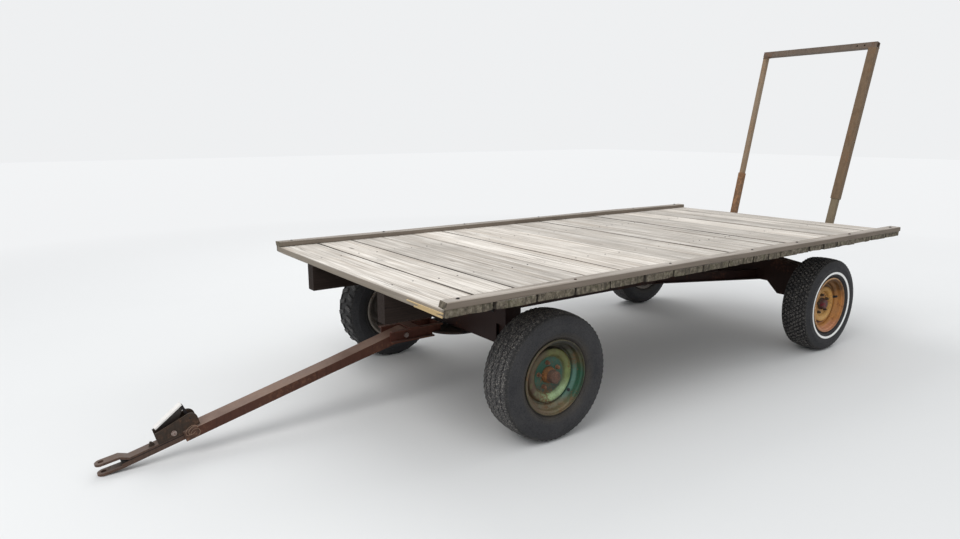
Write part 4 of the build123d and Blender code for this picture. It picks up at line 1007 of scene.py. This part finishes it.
def make_tyres():
    rubber = {}
    for name, flecks, side_dust, bead_dust in (("front_left", 0.8, 0.14, 0.45), ("front_right", 0.45, 0.03, 0.2),
                                               ("rear_left", 1.0, 0.04, 0.1), ("rear_right", 0.5, 0.15, 0.4)):
        rubber[name] = dusty_rubber_and_groove_shade(f"rubber {name}", middle(f"tyre_{name}"), tyre_size(name)[0], flecks,
                                    side_dust, bead_dust)
    make_ribbed_tyre("front_left", rubber["front_left"])
    make_block_tyre("front_right", rubber["front_right"], LUG_ROWS, 28, (0.014, 0.034, 0.082), 0.3, 0.013)
    make_block_tyre("rear_left", rubber["rear_left"], BLOCK_ROWS, 66, (0.01, 0.022, 0.0165), 0.5, 0.0095)
    make_ribbed_tyre("rear_right", rubber["rear_right"], waves=60, swing=0.003)
    make_whitewall("rear_left")


def make_wheels():
    for name, paint, slot, crown_share, nuts, barrel, end, shorter in (
            ("front_left", green_paint_and_shade, "rim_green", 1.035, nut_look, hub_look, cap_look, 0.0),
            ("rear_left", yellow_paint_and_shade, "rim_yellow", 0.93, wheel_hub_look, wheel_hub_look, maroon_look, 0.03),
            ("front_right", brown_paint, "rim_dark", 1.0, nut_look, hub_look, cap_look, 0.0),
            ("rear_right", brown_paint, "rim_dark", 1.0, nut_look, hub_look, cap_look, 0.0)):
        make_rim(name, paint(name), crown_share)
        make_nuts(name, nuts)
        make_hub(name, barrel, end, shorter)
    for name, angle in (("front_left", -130.0), ("rear_left", -78.0), ("front_right", 40.0), ("rear_right", 115.0)):
        make_valve(name, angle, slotted=name == "rear_left")


# Hitch details and fasteners

SEAM_WIDTH, SEAM_HEIGHT = 0.0612, 0.0034
STUD_AHEAD = 0.014
STUD_ASIDE = 0.008
BOLSTER_BOLT_X = 0.475
BOLT_PAIR = 0.022
BOLSTER_BOLT_DOWN = 0.03
WELD_LENGTH = 0.048


def make_strap_gap_shade():
    """A dark box of painted shade in the gap between the upper strap and the bar under it."""
    points = [vert.co for vert in nodes["hitch_bar"].data.vertices]
    ahead, behind = min(points, key=lambda p: p.y).copy(), max(points, key=lambda p: p.z).copy()
    ahead.x = behind.x = 0.0
    reach = behind - ahead
    bm = bmesh.new()
    place = Matrix.Translation((ahead + behind) / 2) @ facing(reach)
    size = Matrix.Diagonal((SEAM_WIDTH, SEAM_HEIGHT, reach.length, 1.0))
    bmesh.ops.create_cube(bm, size=1.0, matrix=place @ size)
    new_piece("strap_gap_shade", bm, strap_gap_shade_look, "tongue")


def make_strap_stud():
    """A rusty nut on the upper strap just ahead of the latch housing."""
    housing_front = corners("latch_housing")[0].y
    top = max((vert.co for vert in nodes["hitch_strap_upper"].data.vertices), key=lambda p: p.z)
    slope = TONGUE_PIN - middle("tongue_collar")
    slope.x = 0.0
    slope.normalize()
    up = Vector((0, -slope.z, slope.y))
    seat = Vector((0, top.y, top.z)) - slope * ((top.y - housing_front + STUD_AHEAD) / slope.y)
    seat.x = STUD_ASIDE
    bm = bmesh.new()
    add_bolt(bm, seat - up * 0.001, up, 0.012, 0.011)
    add_rod(bm, seat, seat + up * 0.021, 0.0065, 10)
    new_piece("strap_stud", bm, latch_look, "tongue", sharp=35)


def make_wire_tangle():
    """Loops of rusty wire left hanging on the collar."""
    rng = random.Random(17)
    centre = middle("tongue_collar")
    outside = corners("tongue_collar")[1].x
    bm = bmesh.new()
    for loop in range(4):
        width, height = rng.uniform(0.016, 0.03), rng.uniform(0.014, 0.026)
        heart = Vector((outside + 0.0025 + 0.001 * loop, centre.y + rng.uniform(-0.016, 0.016),
                        centre.z + rng.uniform(-0.006, 0.022)))
        start, sweep, lean = rng.uniform(0, 6.28), rng.uniform(3.4, 5.4), rng.uniform(-0.6, 0.6)
        line = []
        for step in range(11):
            angle = start + sweep * step / 10
            across, rise = math.cos(angle) * width, math.sin(angle) * height
            line.append(heart + Vector((0.002 * math.sin(angle * 2), across + rise * lean, rise)))
        for first, second in zip(line, line[1:]):
            add_rod(bm, first, second, 0.0014, 6)
    new_piece("wire_tangle", bm, wire_look, "tongue", sharp=60)


def make_frame_bolts():
    """Bolts through the bolsters under the stringers and through the post brackets."""
    bm = bmesh.new()
    for node in ("front_bolster", "rear_bolster"):
        low, high = corners(node)
        for side in (-1, 1):
            for shift in (-BOLT_PAIR, BOLT_PAIR):
                for y, way in ((low.y, -1), (high.y, 1)):
                    seat = (side * BOLSTER_BOLT_X + shift, y, high.z - BOLSTER_BOLT_DOWN)
                    add_bolt(bm, seat, (0, way, 0))
    for node in ("post_bracket_left", "post_bracket_right"):
        low, high = corners(node)
        for x, way in ((low.x, -1), (high.x, 1)):
            for share in (0.2, 0.8):
                seat = (x, low.y + (high.y - low.y) * share, (low.z + high.z) / 2)
                add_bolt(bm, seat, (way, 0, 0), 0.01, 0.007)
    new_piece("frame_bolts", bm, dark_look, "wagon", sharp=35)


def make_post_welds():
    """Weld beads where the posts meet the top bar."""
    rng = random.Random(41)
    bar = corners("top_bar")[0]
    bm = bmesh.new()
    for node, side in (("rear_post_left", 1), ("rear_post_right", -1)):
        low, high = corners(node)
        outer = high.x if side > 0 else low.x
        inner = outer - side * WELD_LENGTH
        for y in (bar.y + 0.0005, high.y + 0.0005):
            add_weld(bm, (inner, y, bar.z + 0.001), (outer, y, bar.z + 0.001), 0.0035, rng)
    new_piece("post_welds", bm, bar_look, "wagon", sharp=60)


# CAD pieces that keep their shape

NODE_LOOKS = (
    (shaded_frame_look, ("front_bolster", "rear_bolster", "front_axle", "rear_axle", "reach_pole", "rear_hounds",
                  "knuckle_left", "knuckle_right")),
    (dark_look, ("steering_pivot", "steering_plate", "steering_pins", "tie_rod_left", "tie_rod_right",
                 "kingpin_left", "kingpin_right", "latch_link", "post_bracket_left", "post_bracket_right")),
    (jaw_look, ("hitch_bar", "hitch_strap_upper", "hitch_strap_lower")), (tongue_look, ("tongue_tube",)),
    (bracket_look, ("tongue_bracket",)), (collar_look, ("tongue_collar",)), (latch_look, ("latch_housing",)),
    (bright_look, ("tongue_pin", "latch_bolt")), (white_look, ("latch_pedal",)), (stub_look, ("post_stub_left",)),
    (shaded_stringer_look, ("stringer_left", "stringer_right")), (socket_look, ("post_socket_right",)),
    (post_look, ("rear_post_left",)), (pale_post_look, ("rear_post_right",)), (bar_look, ("top_bar",)))


def paint_nodes():
    for look, names in NODE_LOOKS:
        for name in names:
            materials = nodes[name].data.materials
            materials.clear()
            materials.append(look)


# Studio

FLOOR_REACH = 40.0
FLOOR_FADE = (4.0, 9.0)
BACKDROP = (0.86, 0.87, 0.88, 1.0)
SKY_COLOUR, SKY_STRENGTH = (0.93, 0.96, 1.0, 1.0), 0.72
LIGHT_AIM = Vector((0.0, 0.0, 0.7))
CAMERA_SIDE = 3.638
CAMERA_AHEAD_OF_DECK = 1.611
CAMERA_ABOVE_DECK = 0.791
CAMERA_TURN = (78.647, 0.07, 54.694)
CAMERA_LENS = 26.155
SENSOR_WIDTH = 36.0


def make_floor():
    """A pale floor that fades into the backdrop away from the wagon."""
    bm = bmesh.new()
    bmesh.ops.create_grid(bm, x_segments=1, y_segments=1, size=FLOOR_REACH)
    s = Shader("studio floor paint", 0.9, 0.1)
    parts = s.axis_values()
    seen = s.add("LightPath", {}).outputs["Is Camera Ray"]
    far = s.times(s.fade(s.distance(parts["X"], parts["Y"]), *FLOOR_FADE), seen)
    feed(s.surface["Emission Color"], BACKDROP)
    feed(s.surface["Emission Strength"], far)
    near = s.blend(s.noise(0.8), (0.74, 0.74, 0.73), (0.76, 0.76, 0.75))
    mesh_object("studio_floor", bm, s.done(s.blend(far, near, (0.0, 0.0, 0.0))))


def make_sky():
    """Lights the wagon with one colour and shows the backdrop's to the camera and in reflections."""
    world = bpy.data.worlds.new("studio sky")
    bpy.context.scene.world = world
    world.use_nodes = True
    tree = world.node_tree
    tree.nodes.clear()
    rays = add_node(tree, "LightPath", {}).outputs
    seen = add_node(tree, "Math", {0: rays["Is Camera Ray"], 1: rays["Is Glossy Ray"]}, operation="MAXIMUM")
    light = add_node(tree, "Background", {"Color": SKY_COLOUR, "Strength": SKY_STRENGTH})
    shown = add_node(tree, "Background", {"Color": BACKDROP, "Strength": 1.0})
    mixed = add_node(tree, "MixShader", {0: seen.outputs[0], 1: light.outputs[0], 2: shown.outputs[0]})
    add_node(tree, "OutputWorld", {"Surface": mixed.outputs[0]})


def make_lights():
    for name, place, size, power in (("key softbox", (3.0, -7.0, 7.5), 6.0, 430.0),
                                     ("fill softbox", (-6.0, 1.0, 6.5), 6.0, 220.0),
                                     ("back softbox", (1.0, 8.0, 6.0), 5.0, 160.0)):
        lamp = bpy.data.lights.new(name, "AREA")
        lamp.shape = "SQUARE"
        lamp.size = size
        lamp.energy = power
        stand = new_object(name, lamp)
        stand.location = place
        stand.rotation_euler = (LIGHT_AIM - Vector(place)).to_track_quat("-Z", "Y").to_euler()


def make_camera():
    view = bpy.data.cameras.new("photo view")
    view.lens = CAMERA_LENS
    view.sensor_width = SENSOR_WIDTH
    camera = new_object("photo view", view)
    camera.location = (CAMERA_SIDE, DECK_LOW.y - CAMERA_AHEAD_OF_DECK, DECK_TOP + CAMERA_ABOVE_DECK)
    camera.rotation_euler = [math.radians(angle) for angle in CAMERA_TURN]
    bpy.context.scene.camera = camera
    bpy.context.scene.view_settings.view_transform = "Standard"


make_deck()
make_rails()
make_splinters()
make_deck_bolts()
make_tyres()
make_wheels()
paint_nodes()
make_strap_gap_shade()
make_strap_stud()
make_wire_tangle()
make_frame_bolts()
make_post_welds()
make_floor()
make_sky()
make_lights()
make_camera()

bpy.context.view_layer.update()
